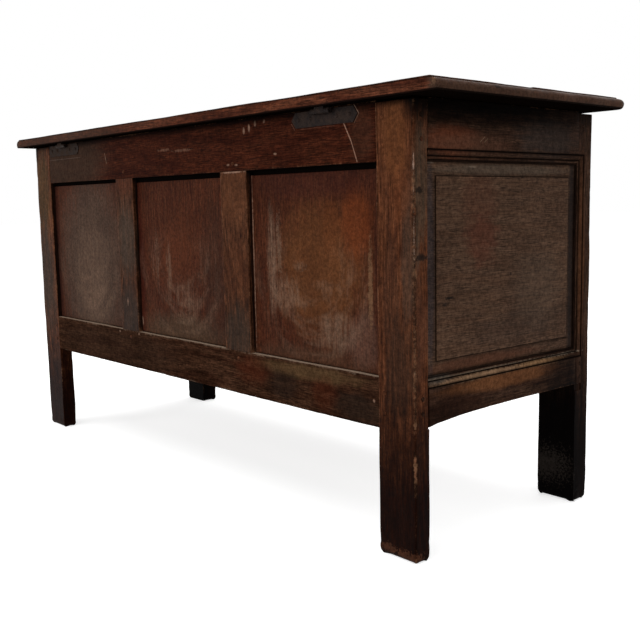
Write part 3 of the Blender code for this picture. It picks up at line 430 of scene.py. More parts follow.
# %% Groups
def group_of(name, inputs, outputs):
    """An empty node group with named inputs and outputs."""
    tree = bpy.data.node_groups.new(name, "ShaderNodeTree")
    for label, kind, value in inputs:
        socket = tree.interface.new_socket(label, in_out="INPUT", socket_type=f"NodeSocket{kind}")
        if value is not None:
            socket.default_value = value
    for label, kind in outputs:
        tree.interface.new_socket(label, in_out="OUTPUT", socket_type=f"NodeSocket{kind}")
    return tree, tree.nodes.new("NodeGroupInput").outputs, tree.nodes.new("NodeGroupOutput").inputs


def placed(tree, group, inputs):
    """The outputs of a group that is placed in a material with its own values."""
    return add(tree, "ShaderNodeGroup", inputs, node_tree=group).outputs


def report(tree):
    """Says what a finished group holds, and hands it on."""
    print("Group", tree.name, "has", len(tree.nodes), "nodes")
    return tree


print("Group helpers:", [helper.__name__ for helper in (group_of, placed, report)])

# %% [markdown]
# ### The grain
# Oak's fibres are a hair wide, its streaks and growth rings a finger wide, and its pores short dark
# dashes. A scanned picture would repeat and need unwrapping. Here all four are drawn from a
# coordinate that each timber carries as an attribute. Its first number runs along the grain, so noise
# that is stretched along it lies right on a rail and on a stile alike.

# %% The grain
FIBRE_STRETCH = (34.0, 560.0, 560.0)
STREAK_STRETCH = (6.0, 95.0, 95.0)
BEND_STRETCH = (2.6, 13.0, 13.0)
PORE_STRETCH = (55.0, 900.0, 900.0)
RING_BEND = 9.0


def grain_group():
    """Fibres, streaks, rings and pores from a coordinate whose first number runs along the grain."""
    tree, given, made = group_of(
        "oak_grain",
        [("Grain", "Vector", None), ("Rings", "Float", 90.0), ("Waviness", "Float", 1.0)],
        [("Fibres", "Float"), ("Streaks", "Float"), ("Rings", "Float"), ("Pores", "Float")])
    vector = given["Grain"]
    fibres = noise(tree, vector, FIBRE_STRETCH, 4.0, 0.75)
    streaks = noise(tree, vector, STREAK_STRETCH, 5.0, 0.68, 0.3)
    bend = noise(tree, vector, BEND_STRETCH, 2.0, 0.5)
    parts = add(tree, "ShaderNodeSeparateXYZ", {0: vector}).outputs
    across = maths(tree, "ADD", parts[1], maths(tree, "MULTIPLY", parts[2], 0.6))
    bend = maths(tree, "MULTIPLY", maths(tree, "MULTIPLY", bend, RING_BEND), given["Waviness"])
    phase = maths(tree, "ADD", maths(tree, "MULTIPLY", across, given["Rings"]), bend)
    rings = ramp(tree, maths(tree, "PINGPONG", phase, 1.0), 0.1, 0.95)
    dashes = ramp(tree, noise(tree, vector, PORE_STRETCH, 1.0, 0.5), 0.55, 0.66)
    pores = maths(tree, "MULTIPLY", dashes, ramp(tree, rings, 0.0, 0.8, 0.35, 1.0))
    for label, value in (("Fibres", fibres), ("Streaks", streaks), ("Rings", rings), ("Pores", pores)):
        tree.links.new(value, made[label])
    return report(tree)


GRAIN = grain_group()

# %% [markdown]
# ### Age
# Three things age every timber alike. Hands bare its arrises, its nooks go dark, and the colour goes
# cloudy. A nook is dark with dirt in some places and with painted shade in others: under the lid, in
# the gaps above the rear panels, on faces turned into an opening and in the mouldings' quirks. A few
# pale marks on ledges, mouldings and edges are painted highlights as well as wear. Where they lie isn't
# guessed from the mesh's curvature: the shaping functions know it, and leave it on the points as the
# marks "arris" and "nook". Noise then breaks their edges up.

# %% Bare arrises, nooks dark with dirt and painted shade, and blotches
BLOTCH_TINT = (0.40, 0.36, 0.36, 1.0)
# Dark nooks take this colour, for dirt and for painted shade alike.
DIRT_AND_SHADE_COLOUR = (0.004, 0.0025, 0.002, 1.0)
RAGGED_WEAR = 2.4


def ageing_group():
    """Bare arrises, nooks darkened by dirt and painted shade, and blotches, laid over a wood colour."""
    tree, given, made = group_of(
        "aged_wood",
        [("Colour", "Color", (0.1, 0.05, 0.03, 1.0)), ("Bare", "Color", (0.3, 0.2, 0.13, 1.0)),
         ("Place", "Vector", None), ("Arris", "Float", 0.0), ("Nook", "Float", 0.0),
         ("Wear", "Float", 0.5), ("Dirt", "Float", 0.8), ("Blotch", "Float", 0.35)],
        [("Colour", "Color"), ("Bared", "Float")])
    broad = noise(tree, given["Place"], 9.0, 4.0, 0.6)
    fine = noise(tree, given["Place"], 150.0, 5.0, 0.8)
    dark = maths(tree, "MULTIPLY", ramp(tree, broad, 0.35, 0.62, 1.0, 0.0), given["Blotch"])
    colour = blend(tree, dark, given["Colour"], BLOTCH_TINT, "MULTIPLY")
    colour = blend(tree, 1.0, colour, ramp(tree, fine, 0.34, 0.66, 0.66, 1.36), "MULTIPLY")
    rub = given["Arris"]
    for cloud in (fine, broad):
        rub = maths(tree, "ADD", rub, maths(tree, "MULTIPLY", maths(tree, "SUBTRACT", cloud, 0.5), RAGGED_WEAR))
    bared = maths(tree, "MULTIPLY", ramp(tree, rub, 0.9, 1.6), given["Wear"])
    bared = maths(tree, "MULTIPLY", bared, ramp(tree, given["Arris"], 0.05, 0.5))
    bared = maths(tree, "MAXIMUM", bared, ramp(tree, given["Arris"], 1.3, 1.8, 0.0, 0.85))
    # The pale marks on ledges, on mouldings and on the lid's fillet are painted highlights as well as wear.
    colour = blend(tree, bared, colour, given["Bare"])
    # Nooks darken here: with dirt in some places and with painted shade in others.
    colour = blend(tree, maths(tree, "MULTIPLY", given["Nook"], given["Dirt"]), colour, DIRT_AND_SHADE_COLOUR)
    tree.links.new(colour, made["Colour"])
    tree.links.new(bared, made["Bared"])
    return report(tree)


AGEING = ageing_group()

# %% [markdown]
# ### Stains and scratches
# A stain sits at one place on the chest and has no sharp edge. Painting it would need a picture, so
# it is a mask: 1 inside an ellipsoid about a place, easing to 0, with noise added to the distance so
# that its edge is ragged. A scratch is the same idea about a line: the distance to the nearest place
# on the stretch from its start to its end.

# %% Stains and scratches
def patch_group():
    """A stain: 1 inside an ellipsoid and 0 outside, with an edge that noise makes ragged."""
    tree, given, made = group_of(
        "soft_patch",
        [("Place", "Vector", None), ("Centre", "Vector", None), ("Reach", "Vector", (1.0, 1.0, 1.0)),
         ("Noise", "Float", 0.5), ("Ragged", "Float", 0.8)], [("Mask", "Float")])
    offset = vectors(tree, "SUBTRACT", given["Place"], given["Centre"])
    scaled = vectors(tree, "DIVIDE", offset, given["Reach"])
    away = add(tree, "ShaderNodeVectorMath", {0: scaled}, operation="LENGTH").outputs[1]
    rag = maths(tree, "MULTIPLY", maths(tree, "SUBTRACT", given["Noise"], 0.5), given["Ragged"])
    tree.links.new(ramp(tree, maths(tree, "ADD", away, rag), 0.45, 1.15, 1.0, 0.0), made["Mask"])
    return report(tree)


def scratch_group():
    """A scratch: 1 within a width of the stretch between two places, and 0 beyond it."""
    tree, given, made = group_of(
        "scratch", [("Place", "Vector", None), ("Start", "Vector", None), ("End", "Vector", None),
                    ("Width", "Float", 0.001)], [("Mask", "Float")])
    whole = vectors(tree, "SUBTRACT", given["End"], given["Start"])
    part = vectors(tree, "SUBTRACT", given["Place"], given["Start"])
    share = maths(tree, "DIVIDE", vectors(tree, "DOT_PRODUCT", part, whole, 1),
                  vectors(tree, "DOT_PRODUCT", whole, whole, 1), clamp=True)
    nearest = add(tree, "ShaderNodeVectorMath", {0: whole, "Scale": share}, operation="SCALE").outputs[0]
    away = maths(tree, "DIVIDE", vectors(tree, "DISTANCE", part, nearest, 1), given["Width"])
    tree.links.new(ramp(tree, away, 0.3, 0.6, 1.0, 0.0), made["Mask"])
    return report(tree)


PATCH = patch_group()
SCRATCH = scratch_group()

# %% [markdown]
# ### Wiped rings
# The panels at the back keep pale rings, left by a cloth that spread the wax in circles, and the rings
# also stand in for a painted sheen. Noise that is read from the radius and from the turn's sine and
# cosine, and not from x and z, comes out as arcs about each panel's middle, with no seam where the turn
# starts again.

# %% Wiped rings
RING_DENSITY = 7.0


def swirl_group():
    """Streaks that a cloth leaves when it wipes a panel in circles: noise along angle and radius."""
    tree, given, made = group_of("wiped_rings", [("Spot", "Vector", None)], [("Mask", "Float")])
    parts = add(tree, "ShaderNodeSeparateXYZ", {0: given["Spot"]}).outputs
    squares = [maths(tree, "POWER", maths(tree, "ABSOLUTE", part), 2.0) for part in parts[:2]]
    radius = maths(tree, "POWER", maths(tree, "ADD", *squares), 0.5)
    turn = maths(tree, "ARCTAN2", parts[1], parts[0])
    polar = add(tree, "ShaderNodeCombineXYZ", {0: maths(tree, "MULTIPLY", radius, RING_DENSITY),
                                              1: maths(tree, "SINE", turn), 2: maths(tree, "COSINE", turn)})
    streaks = noise(tree, polar.outputs[0], (1.0, 1.3, 1.3), 4.0, 0.65)
    rings = maths(tree, "MULTIPLY", ramp(tree, streaks, 0.42, 0.66), ramp(tree, radius, 0.15, 0.5))
    tree.links.new(maths(tree, "MULTIPLY", rings, ramp(tree, radius, 0.75, 1.15, 1.0, 0.0)), made["Mask"])
    return report(tree)


SWIRL = swirl_group()

# %% [markdown]
# ### One wood from its parts
# The chest's timbers differ: the near stile is sandy, the rails are deep red, the ends are brown. They
# are one recipe with other values. It lays streaks between three colours, adds rings, fibres and
# pores, then the stains, and ages the result. The gloss is low and plain on the shader's own socket,
# because old wax on open oak hardly mirrors anything, and the darkened nooks are rougher still.

# %% Oak materials
# The pale haze on the panels: dried wax, which also stands in for a painted sheen.
PALE_WAX_AND_SHEEN = (0.215, 0.130, 0.086)
PORE_COLOUR = (0.010, 0.005, 0.003, 1.0)
WISP_STRETCH = (18.0, 130.0, 130.0)
SMALL_STAIN = 0.0095
RAGGED_SMALL = 3.0
RAGGED_BROAD = 1.9


def attribute(tree, name, output="Fac"):
    """A value that each point of a piece carries."""
    return add(tree, "ShaderNodeAttribute", attribute_name=name).outputs[output]


def plain_oak(tree, wood, dark, mid, light, streak, figure, fibre, pores):
    """The wood's own colour: streaks between three colours, times its fibres, with dark pores."""
    streaks = ramp(tree, wood["Streaks"], 0.32, 0.68)
    colour = blend(tree, maths(tree, "MULTIPLY", streaks, streak), (*dark, 1.0), (*mid, 1.0))
    colour = blend(tree, maths(tree, "MULTIPLY", wood["Rings"], figure), colour, (*light, 1.0))
    fibres = ramp(tree, wood["Fibres"], 0.34, 0.66, 1 - 0.42 * fibre, 1 + 0.5 * fibre)
    colour = blend(tree, 1.0, colour, fibres, "MULTIPLY")
    colour = blend(tree, maths(tree, "MULTIPLY", wood["Pores"], pores), colour, PORE_COLOUR)
    return blend(tree, 1.0, colour, ramp(tree, attribute(tree, "tone"), 0.0, 1.0, 0.88, 1.1), "MULTIPLY")


def marked_oak(tree, place, wood, colour, stains, scratches, haze):
    """Stains, scratches and wiped rings laid over a wood's colour."""
    cloud = noise(tree, place, 38.0, 6.0, 0.72)
    cloud = maths(tree, "MULTIPLY", maths(tree, "ADD", cloud, wood["Streaks"]), 0.5)
    grit = noise(tree, place, 230.0, 3.0, 0.7)
    wisps = noise(tree, attribute(tree, "grain", "Vector"), WISP_STRETCH, 7.0, 0.85, 0.4)
    wisps = ramp(tree, wisps, 0.38, 0.62, 0.05, 1.25)
    for middle, reach, ragged, amount, tint, *mode in stains:
        small = min(reach) < SMALL_STAIN
        edge, scale = (grit, RAGGED_SMALL) if small else (cloud, RAGGED_BROAD)
        mask = placed(tree, PATCH, {"Place": place, "Centre": middle, "Reach": reach, "Noise": edge,
                                    "Ragged": ragged * scale})["Mask"]
        mask = maths(tree, "MULTIPLY", mask, wisps) if tint is PALE_WAX_AND_SHEEN else mask
        colour = blend(tree, maths(tree, "MULTIPLY", mask, amount), colour, (*tint, 1.0), *mode)
    for start, end, width, tint in scratches:
        mask = placed(tree, SCRATCH, {"Place": place, "Start": start, "End": end, "Width": width})["Mask"]
        mask = maths(tree, "MULTIPLY", mask, ramp(tree, grit, 0.3, 0.5, 0.3, 0.9))
        colour = blend(tree, mask, colour, (*tint, 1.0))
    # The wiped rings: dried wax with a painted sheen.
    if haze:
        rings_left = placed(tree, SWIRL, {"Spot": attribute(tree, "spot", "Vector")})["Mask"]
        rings_left = maths(tree, "MULTIPLY", rings_left, attribute(tree, "film"))
        film = maths(tree, "MULTIPLY", ramp(tree, wood["Fibres"], 0.35, 0.65, 0.2, 1.0),
                     maths(tree, "MULTIPLY", rings_left, haze))
        colour = blend(tree, film, colour, (*PALE_WAX_AND_SHEEN, 1.0))
    return colour


# The haze's colour is dried wax and a painted sheen.
print("Colour of dried wax:", PALE_WAX_AND_SHEEN)

# %% [markdown]
# A wood is then one call. Its colour goes through the ageing group, and the same fibres, rings and
# pores that colour it also raise and sink its surface a little through a bump.

# %% Old waxed oak
GRAIN_DEPTH = 0.0006


def oak(name, dark, mid, light, bare=(0.27, 0.14, 0.075), rings=90.0, waviness=1.0, figure=0.5, streak=0.6,
        pores=0.7, wear=0.3, dirt=1.0, blotch=0.4, rough=0.46, gloss=0.015, relief=0.35, fibre=1.35,
        stains=(), scratches=(), haze=0.0):
    """Old waxed oak: its own colour, then stains, scratches and haze, then wear, dirt and painted shade.

    Each stain has its middle, its reach along x, y and z, how ragged it is, how strong, and a colour,
    with "MULTIPLY" where it darkens what lies below. Each scratch has two ends, a width and a colour.
    """
    material = bpy.data.materials.new(name)
    material.use_nodes = True
    tree = material.node_tree
    shader = tree.nodes["Principled BSDF"]
    place = add(tree, "ShaderNodeTexCoord").outputs["Object"]
    wood = placed(tree, GRAIN, {"Grain": attribute(tree, "grain", "Vector"), "Rings": rings,
                                "Waviness": waviness})
    colour = plain_oak(tree, wood, dark, mid, light, streak, figure, fibre, pores)
    colour = marked_oak(tree, place, wood, colour, stains, scratches, haze)
    aged = placed(tree, AGEING, {"Colour": colour, "Bare": (*bare, 1.0), "Place": place,
                                 "Arris": attribute(tree, "arris"), "Nook": attribute(tree, "nook"),
                                 "Wear": wear, "Dirt": dirt, "Blotch": blotch})
    tree.links.new(aged["Colour"], shader.inputs["Base Color"])
    dull = maths(tree, "ADD", maths(tree, "MULTIPLY", wood["Fibres"], 0.16),
                 maths(tree, "MULTIPLY", aged["Bared"], 0.2))
    dull = maths(tree, "ADD", dull, maths(tree, "MULTIPLY", attribute(tree, "nook"), 0.5))
    tree.links.new(maths(tree, "ADD", dull, rough - 0.08, clamp=True), shader.inputs["Roughness"])
    shader.inputs["Specular IOR Level"].default_value = gloss
    height = maths(tree, "SUBTRACT", maths(tree, "MULTIPLY", wood["Fibres"], 0.8),
                   maths(tree, "MULTIPLY", wood["Pores"], 0.7))
    height = maths(tree, "ADD", height, maths(tree, "MULTIPLY", wood["Rings"], 0.25))
    bump = add(tree, "ShaderNodeBump", {"Height": height, "Strength": relief, "Distance": GRAIN_DEPTH})
    tree.links.new(bump.outputs[0], shader.inputs["Normal"])
    print("Made", name, "with", len(stains), "stains and", len(tree.nodes), "nodes")
    return material


# %% [markdown]
# ### What the years have left
# Stains are what has happened in one place: damp that blackened the legs, wax that dried pale on a
# panel, and patches where the finish glows through. A few rows are painted light and shade: a painted
# shadow under the lid's overhang and low on the front legs, painted shade on the legs' damp, a painted
# sheen in the panels' pale wax, painted highlights on the end's bottom moulding and a painted shadow
# down one border of the end's panel. They are laid by their place on the chest, so they run across a
# joint as real stains do. Most lie on the back or on an end, so two helpers take them as flat rows:
# where, how far each way, how ragged, how strong, and the colour.

# %% Stains and painted shadows that several timbers share
def on_back(y, deep, rows):
    """Stains on a face that looks along y, from rows of x, z, reach along x and z, and the rest."""
    return [((x, y, z), (wide, deep, tall), *rest) for x, z, wide, tall, *rest in rows]


def on_end(x, deep, rows):
    """Stains on a face that looks along x, from rows of y, z, reach along y and z, and the rest."""
    return [((x, y, z), (deep, wide, tall), *rest) for y, z, wide, tall, *rest in rows]


# The tint of the painted shadow under the lid's overhang.
LID_SHADOW_TINT = (0.05, 0.05, 0.05)
GREY = (0.060, 0.040, 0.028)
BARE = (0.42, 0.27, 0.20)
DRIP = (0.300, 0.175, 0.120)
# Darker towards the floor on all four legs: partly damp, partly painted shade.
LEG_DAMP_AND_SHADE = [((x, y, -0.05), (0.30, 0.30, 0.34), 0.5, 1.0, (0.11, 0.08, 0.08), "MULTIPLY")
            for x in (-0.62, 0.62) for y in (-0.21, 0.21)]
# Near black low on the front legs, most of all on their inner faces: a painted shadow.
FRONT_LEG_SHADOW = [((x, y, 0.02), (0.30, reach, 0.30), 0.3, 1.0, (0.0016, 0.0010, 0.0010))
              for x in (-0.62, 0.62) for y, reach in ((-0.178, 0.024), (-0.150, 0.080))]
# Dark bands just under the lid, on the back and on both ends: a painted shadow of the lid's overhang.
LID_OVERHANG_SHADOW = [((0.0, 0.226, 0.707), (5.0, 0.03, 0.020), 0.3, 0.9, LID_SHADOW_TINT, "MULTIPLY"),
             ((-0.652, 0.100, 0.714), (0.03, 0.500, 0.063), 0.4, 1.0, LID_SHADOW_TINT, "MULTIPLY"),
             ((0.652, 0.100, 0.714), (0.03, 0.500, 0.070), 0.4, 1.0, LID_SHADOW_TINT, "MULTIPLY")]
print("Shared stains:", len(LEG_DAMP_AND_SHADE) + len(FRONT_LEG_SHADOW) + len(LID_OVERHANG_SHADOW))

# %% [markdown]
# The rear stiles and rails have taken most: hands have polished them, something has dripped down the
# top rail, and a chain of small nicks shows pale along the near arris.

# %% Stains on the frame
STILE_STAINS = [
    *on_back(0.223, 0.02, [
        (-0.637, 0.470, 0.016, 0.14, 1.0, 0.55, GREY),
        (-0.620, 0.300, 0.040, 0.09, 1.2, 0.55, (0.035, 0.020, 0.013)),
        (-0.600, 0.420, 0.020, 0.10, 1.2, 0.35, (0.045, 0.022, 0.014)),
        (-0.612, 0.645, 0.034, 0.075, 1.0, 0.65, (0.150, 0.052, 0.018)),
        (-0.625, 0.560, 0.022, 0.050, 1.0, 0.45, (0.130, 0.040, 0.015))]),
    *on_end(-0.651, 0.01, [
        (0.208, 0.570, 0.020, 0.11, 1.0, 0.60, (0.080, 0.058, 0.038)),
        (0.208, 0.360, 0.020, 0.07, 1.0, 0.50, (0.100, 0.040, 0.022)),
        (0.2120, 0.566, 0.010, 0.0055, 0.6, 0.90, (0.012, 0.008, 0.006)),
        (0.2100, 0.468, 0.016, 0.0064, 0.9, 0.85, (0.012, 0.008, 0.006))]),
    ((-0.650, 0.2235, 0.455), (0.004, 0.004, 0.190), 1.3, 0.70, (0.016, 0.010, 0.007)),
    ((0.620, 0.223, 0.590), (0.05, 0.02, 0.12), 0.8, 0.6, (0.060, 0.038, 0.014)),
    ((0.620, 0.223, 0.380), (0.05, 0.02, 0.16), 0.8, 0.8, (0.034, 0.024, 0.018)),
    ((-0.6500, 0.2235, 0.668), (0.0011, 0.0011, 0.034), 0.4, 0.5, BARE),
    ((-0.6500, 0.2235, 0.604), (0.0021, 0.0021, 0.018), 0.8, 0.9, BARE),
    ((-0.6500, 0.2235, 0.566), (0.0015, 0.0015, 0.010), 0.8, 0.8, BARE),
    ((-0.6500, 0.2235, 0.500), (0.0016, 0.0016, 0.050), 0.8, 0.6, BARE),
    ((-0.6500, 0.2235, 0.290), (0.0012, 0.0012, 0.016), 0.8, 0.6, BARE),
    *LEG_DAMP_AND_SHADE, *LID_OVERHANG_SHADOW,
    ((-0.636, 0.2235, 0.008), (0.030, 0.02, 0.009), 1.1, 0.60, (0.130, 0.050, 0.026)),
    ((-0.590, 0.2235, 0.012), (0.022, 0.02, 0.008), 1.1, 0.55, (0.110, 0.044, 0.024)),
    ((-0.6500, 0.2235, 0.150), (0.0030, 0.0030, 0.020), 0.8, 0.8, (0.230, 0.095, 0.050))]
RAIL_STAINS = [
    ((0.460, 0.223, 0.655), (0.205, 0.02, 0.09), 0.4, 0.85, (0.044, 0.024, 0.015)),
    ((-0.540, 0.223, 0.655), (0.030, 0.02, 0.06), 0.7, 0.4, (0.070, 0.030, 0.017)),
    ((0.035, 0.2235, 0.660), (0.026, 0.02, 0.0030), 0.8, 0.60, (0.170, 0.085, 0.055)),
    ((-0.030, 0.2235, 0.656), (0.036, 0.02, 0.0030), 0.8, 0.60, (0.170, 0.085, 0.055)),
    *[((x, 0.2235, z), (0.0034, 0.02, tall * 1.25), 0.25, 0.80, DRIP) for x, z, tall in (
        (-0.2373, 0.679, 0.0055), (-0.2530, 0.682, 0.0065), (-0.2711, 0.689, 0.0050),
        (-0.2971, 0.691, 0.0030))],
    *[((x, 0.2235, z), (0.0050, 0.02, 0.0022), 0.30, 0.80, DRIP) for x, z in (
        (-0.1852, 0.6215), (-0.2102, 0.6205), (-0.3255, 0.6340))],
    *LID_OVERHANG_SHADOW]
MUNTIN_STAINS = [
    ((-0.200, 0.223, 0.570), (0.05, 0.02, 0.07), 0.8, 0.6, (0.115, 0.042, 0.018)),
    ((-0.2000, 0.2235, 0.6080), (0.040, 0.02, 0.0020), 0.60, 0.90, DRIP),
    *on_back(0.223, 0.02, [
        (-0.200, 0.430, 0.05, 0.06, 0.9, 0.5, (0.075, 0.024, 0.010)),
        (-0.200, 0.310, 0.05, 0.07, 0.9, 0.7, (0.034, 0.024, 0.017)),
        (0.206, 0.600, 0.05, 0.03, 0.7, 0.5, (0.100, 0.030, 0.014)),
        (0.206, 0.480, 0.05, 0.09, 0.9, 0.7, (0.060, 0.041, 0.029)),
        (0.206, 0.320, 0.05, 0.08, 0.9, 0.7, (0.026, 0.020, 0.016))]),
    ((0.2125, 0.2235, 0.345), (0.0025, 0.02, 0.0110), 0.5, 0.7, DRIP)]
LOW_RAIL_STAINS = [
    *on_back(0.223, 0.02, [
        (-0.400, 0.266, 0.150, 0.016, 1.2, 0.6, (0.115, 0.066, 0.030)),
        (-0.520, 0.225, 0.070, 0.030, 1.2, 0.7, (0.022, 0.014, 0.010)),
        (-0.330, 0.235, 0.050, 0.030, 1.2, 0.6, (0.022, 0.014, 0.010)),
        (-0.440, 0.235, 0.040, 0.030, 1.0, 0.5, (0.070, 0.016, 0.007)),
        (-0.240, 0.250, 0.060, 0.030, 1.0, 0.5, (0.070, 0.016, 0.007)),
        (0.300, 0.240, 0.35, 0.06, 0.6, 0.45, (0.036, 0.020, 0.013))]),
    *[((x, 0.2235, z), (0.0030, 0.02, 0.0030), 0.4, 0.8, DRIP) for x, z in (
        (0.2558, 0.2752), (0.1700, 0.2770), (-0.5755, 0.2790), (-0.5615, 0.2420))]]
print("Stains on the frame:", len(STILE_STAINS + RAIL_STAINS + MUNTIN_STAINS + LOW_RAIL_STAINS))

# %% [markdown]
# The panels glow amber where the wax is thick and go milky where it has dried, a milkiness that is
# partly a painted sheen. The end is drier and browner, with one red patch, painted highlights on its
# bottom moulding and a painted shadow down one border of its panel, and the lid's edge is dark where
# hands lift it.

# %% Stains, painted highlights and painted shadows on the panels, the ends and the lid
PANEL_STAINS = on_back(0.2145, 0.02, [
    (-0.425, 0.440, 0.125, 0.130, 0.7, 0.65, (0.150, 0.056, 0.020)),
    (-0.517, 0.516, 0.043, 0.066, 0.9, 0.65, (0.175, 0.043, 0.013)),
    (-0.455, 0.510, 0.024, 0.060, 0.9, 0.40, (0.150, 0.045, 0.014)),
    (-0.298, 0.450, 0.016, 0.105, 0.8, 0.62, PALE_WAX_AND_SHEEN),
    (-0.318, 0.480, 0.008, 0.060, 0.8, 0.50, PALE_WAX_AND_SHEEN),
    (-0.335, 0.395, 0.045, 0.035, 0.9, 0.42, PALE_WAX_AND_SHEEN),
    (-0.375, 0.445, 0.020, 0.009, 1.0, 0.45, PALE_WAX_AND_SHEEN),
    (-0.430, 0.415, 0.030, 0.010, 1.0, 0.25, PALE_WAX_AND_SHEEN),
    (-0.470, 0.340, 0.050, 0.035, 0.9, 0.50, PALE_WAX_AND_SHEEN),
    (-0.530, 0.330, 0.045, 0.060, 0.8, 0.40, (0.160, 0.085, 0.060)),
    (-0.548, 0.420, 0.006, 0.080, 0.7, 0.55, (0.230, 0.120, 0.060)),
    (-0.568, 0.440, 0.012, 0.220, 0.3, 0.65, (0.040, 0.011, 0.006)),
    # A pale line along the near panel's edge by the muntin: a painted highlight, partly bare wood.
    (-0.2445, 0.450, 0.0016, 0.180, 0.5, 0.75, DRIP),
    (-0.400, 0.590, 0.200, 0.040, 0.5, 0.55, (0.050, 0.014, 0.009)),
    (-0.400, 0.285, 0.180, 0.030, 0.5, 0.45, (0.080, 0.042, 0.024)),
    (0.010, 0.450, 0.090, 0.110, 0.7, 0.40, (0.105, 0.030, 0.012)),
    (0.050, 0.420, 0.011, 0.070, 0.9, 0.40, PALE_WAX_AND_SHEEN),
    (0.095, 0.440, 0.009, 0.050, 0.9, 0.35, PALE_WAX_AND_SHEEN),
    (-0.005, 0.370, 0.035, 0.030, 0.9, 0.35, PALE_WAX_AND_SHEEN),
    (0.005, 0.290, 0.200, 0.050, 0.6, 0.75, (0.064, 0.038, 0.022)),
    (-0.120, 0.400, 0.050, 0.200, 0.6, 0.50, (0.045, 0.020, 0.012)),
    (0.165, 0.440, 0.022, 0.250, 0.3, 0.70, (0.040, 0.008, 0.005)),
    (0.385, 0.410, 0.190, 0.260, 0.5, 0.75, (0.078, 0.050, 0.035)),
    (0.400, 0.400, 0.100, 0.150, 0.9, 0.24, PALE_WAX_AND_SHEEN),
    (0.578, 0.450, 0.030, 0.280, 0.4, 0.85, (0.026, 0.008, 0.006)),
    (0.165, 0.305, 0.003, 0.0120, 0.4, 0.6, DRIP)])
END_STAINS = [
    *on_end(-0.65, 0.02, [
        (0.140, 0.638, 0.070, 0.028, 1.0, 0.75, (0.130, 0.038, 0.018)),
        (-0.205, 0.450, 0.010, 0.180, 0.6, 0.55, (0.130, 0.052, 0.024)),
        (0.090, 0.634, 0.110, 0.020, 1.1, 0.65, (0.090, 0.040, 0.024)),
        (-0.100, 0.650, 0.100, 0.040, 0.9, 0.60, (0.036, 0.028, 0.024)),
        (0.020, 0.258, 0.170, 0.016, 1.0, 0.80, (0.165, 0.065, 0.026)),
        # The pale bands along the bottom moulding's ovolo and bead are painted highlights, partly wear.
        (0.060, 0.2730, 0.150, 0.0060, 0.6, 0.80, (0.270, 0.160, 0.090)),
        (-0.090, 0.2735, 0.080, 0.007, 0.5, 0.80, (0.260, 0.145, 0.070)),
        (0.170, 0.2810, 0.040, 0.010, 0.8, 0.60, (0.080, 0.070, 0.058)),
        (0.060, 0.2807, 0.180, 0.0020, 0.7, 0.60, (0.200, 0.150, 0.105)),
        (-0.150, 0.2790, 0.060, 0.0024, 0.6, 0.75, (0.380, 0.300, 0.220)),
        (0.130, 0.235, 0.090, 0.022, 0.9, 0.70, (0.030, 0.012, 0.007))]),
    *LEG_DAMP_AND_SHADE, *FRONT_LEG_SHADOW, *LID_OVERHANG_SHADOW,
    ((-0.590, -0.1915, 0.062), (0.055, 0.006, 0.034), 1.6, 0.30, (0.075, 0.060, 0.050))]
END_PANEL_STAINS = [
    *on_end(-0.645, 0.02, [
        (0.064, 0.490, 0.046, 0.046, 1.2, 0.42, (0.105, 0.028, 0.016)),
        (0.070, 0.545, 0.050, 0.060, 1.2, 0.30, (0.085, 0.028, 0.016)),
        (-0.080, 0.400, 0.080, 0.080, 0.9, 0.30, (0.090, 0.064, 0.046)),
        (0.000, 0.598, 0.200, 0.011, 0.7, 0.55, (0.088, 0.068, 0.050)),
        (0.181, 0.6065, 0.013, 0.0014, 0.30, 0.60, (0.20, 0.15, 0.11)),
        (0.084, 0.6015, 0.010, 0.0016, 0.40, 0.50, (0.20, 0.15, 0.11)),
        (0.140, 0.4020, 0.014, 0.0026, 0.80, 0.90, (0.008, 0.006, 0.005)),
        (0.150, 0.3930, 0.008, 0.0030, 0.80, 0.80, (0.010, 0.007, 0.006)),
        # A dark strip down the panel's border beside the front stile: a painted shadow.
        (-0.183, 0.450, 0.013, 0.300, 0.3, 0.85, (0.008, 0.006, 0.006)),
        (-0.010, 0.4300, 0.003, 0.0030, 0.40, 0.80, (0.010, 0.007, 0.006))]),
    ((-0.643, 0.060, 0.2965), (0.02, 0.170, 0.011), 0.8, 0.80, (0.082, 0.032, 0.017)),
    ((-0.643, 0.181, 0.450), (0.02, 0.010, 0.200), 0.5, 0.60, (0.026, 0.025, 0.030)),
    ((-0.645, -0.030, 0.340), (0.02, 0.140, 0.030), 0.9, 0.35, (0.034, 0.022, 0.017))]
LID_STAINS = [
    ((x, 0.0, 0.712), (0.022, 5.0, 0.030), 0.7, 0.80, (0.056, 0.033, 0.022)) for x in (-0.714, 0.714)] + [
    ((0.450, 0.2435, 0.710), (0.350, 0.02, 0.030), 0.7, 0.60, (0.040, 0.022, 0.014)),
    ((-0.712, 0.110, 0.714), (0.004, 0.008, 0.0040), 0.5, 0.80, (0.012, 0.008, 0.006)),
    ((0.0, 0.2435, 0.7225), (5.0, 0.01, 0.0040), 0.8, 0.60, (0.022, 0.014, 0.010)),
    ((-0.708, 0.2435, 0.712), (0.004, 0.003, 0.0060), 0.9, 0.60, (0.22, 0.12, 0.07))]
print("Stains on the rest:", len(PANEL_STAINS + END_STAINS + END_PANEL_STAINS + LID_STAINS))

# %% [markdown]
# A few long scratches catch the eye on the back's top rail, and two short ones on the end's.

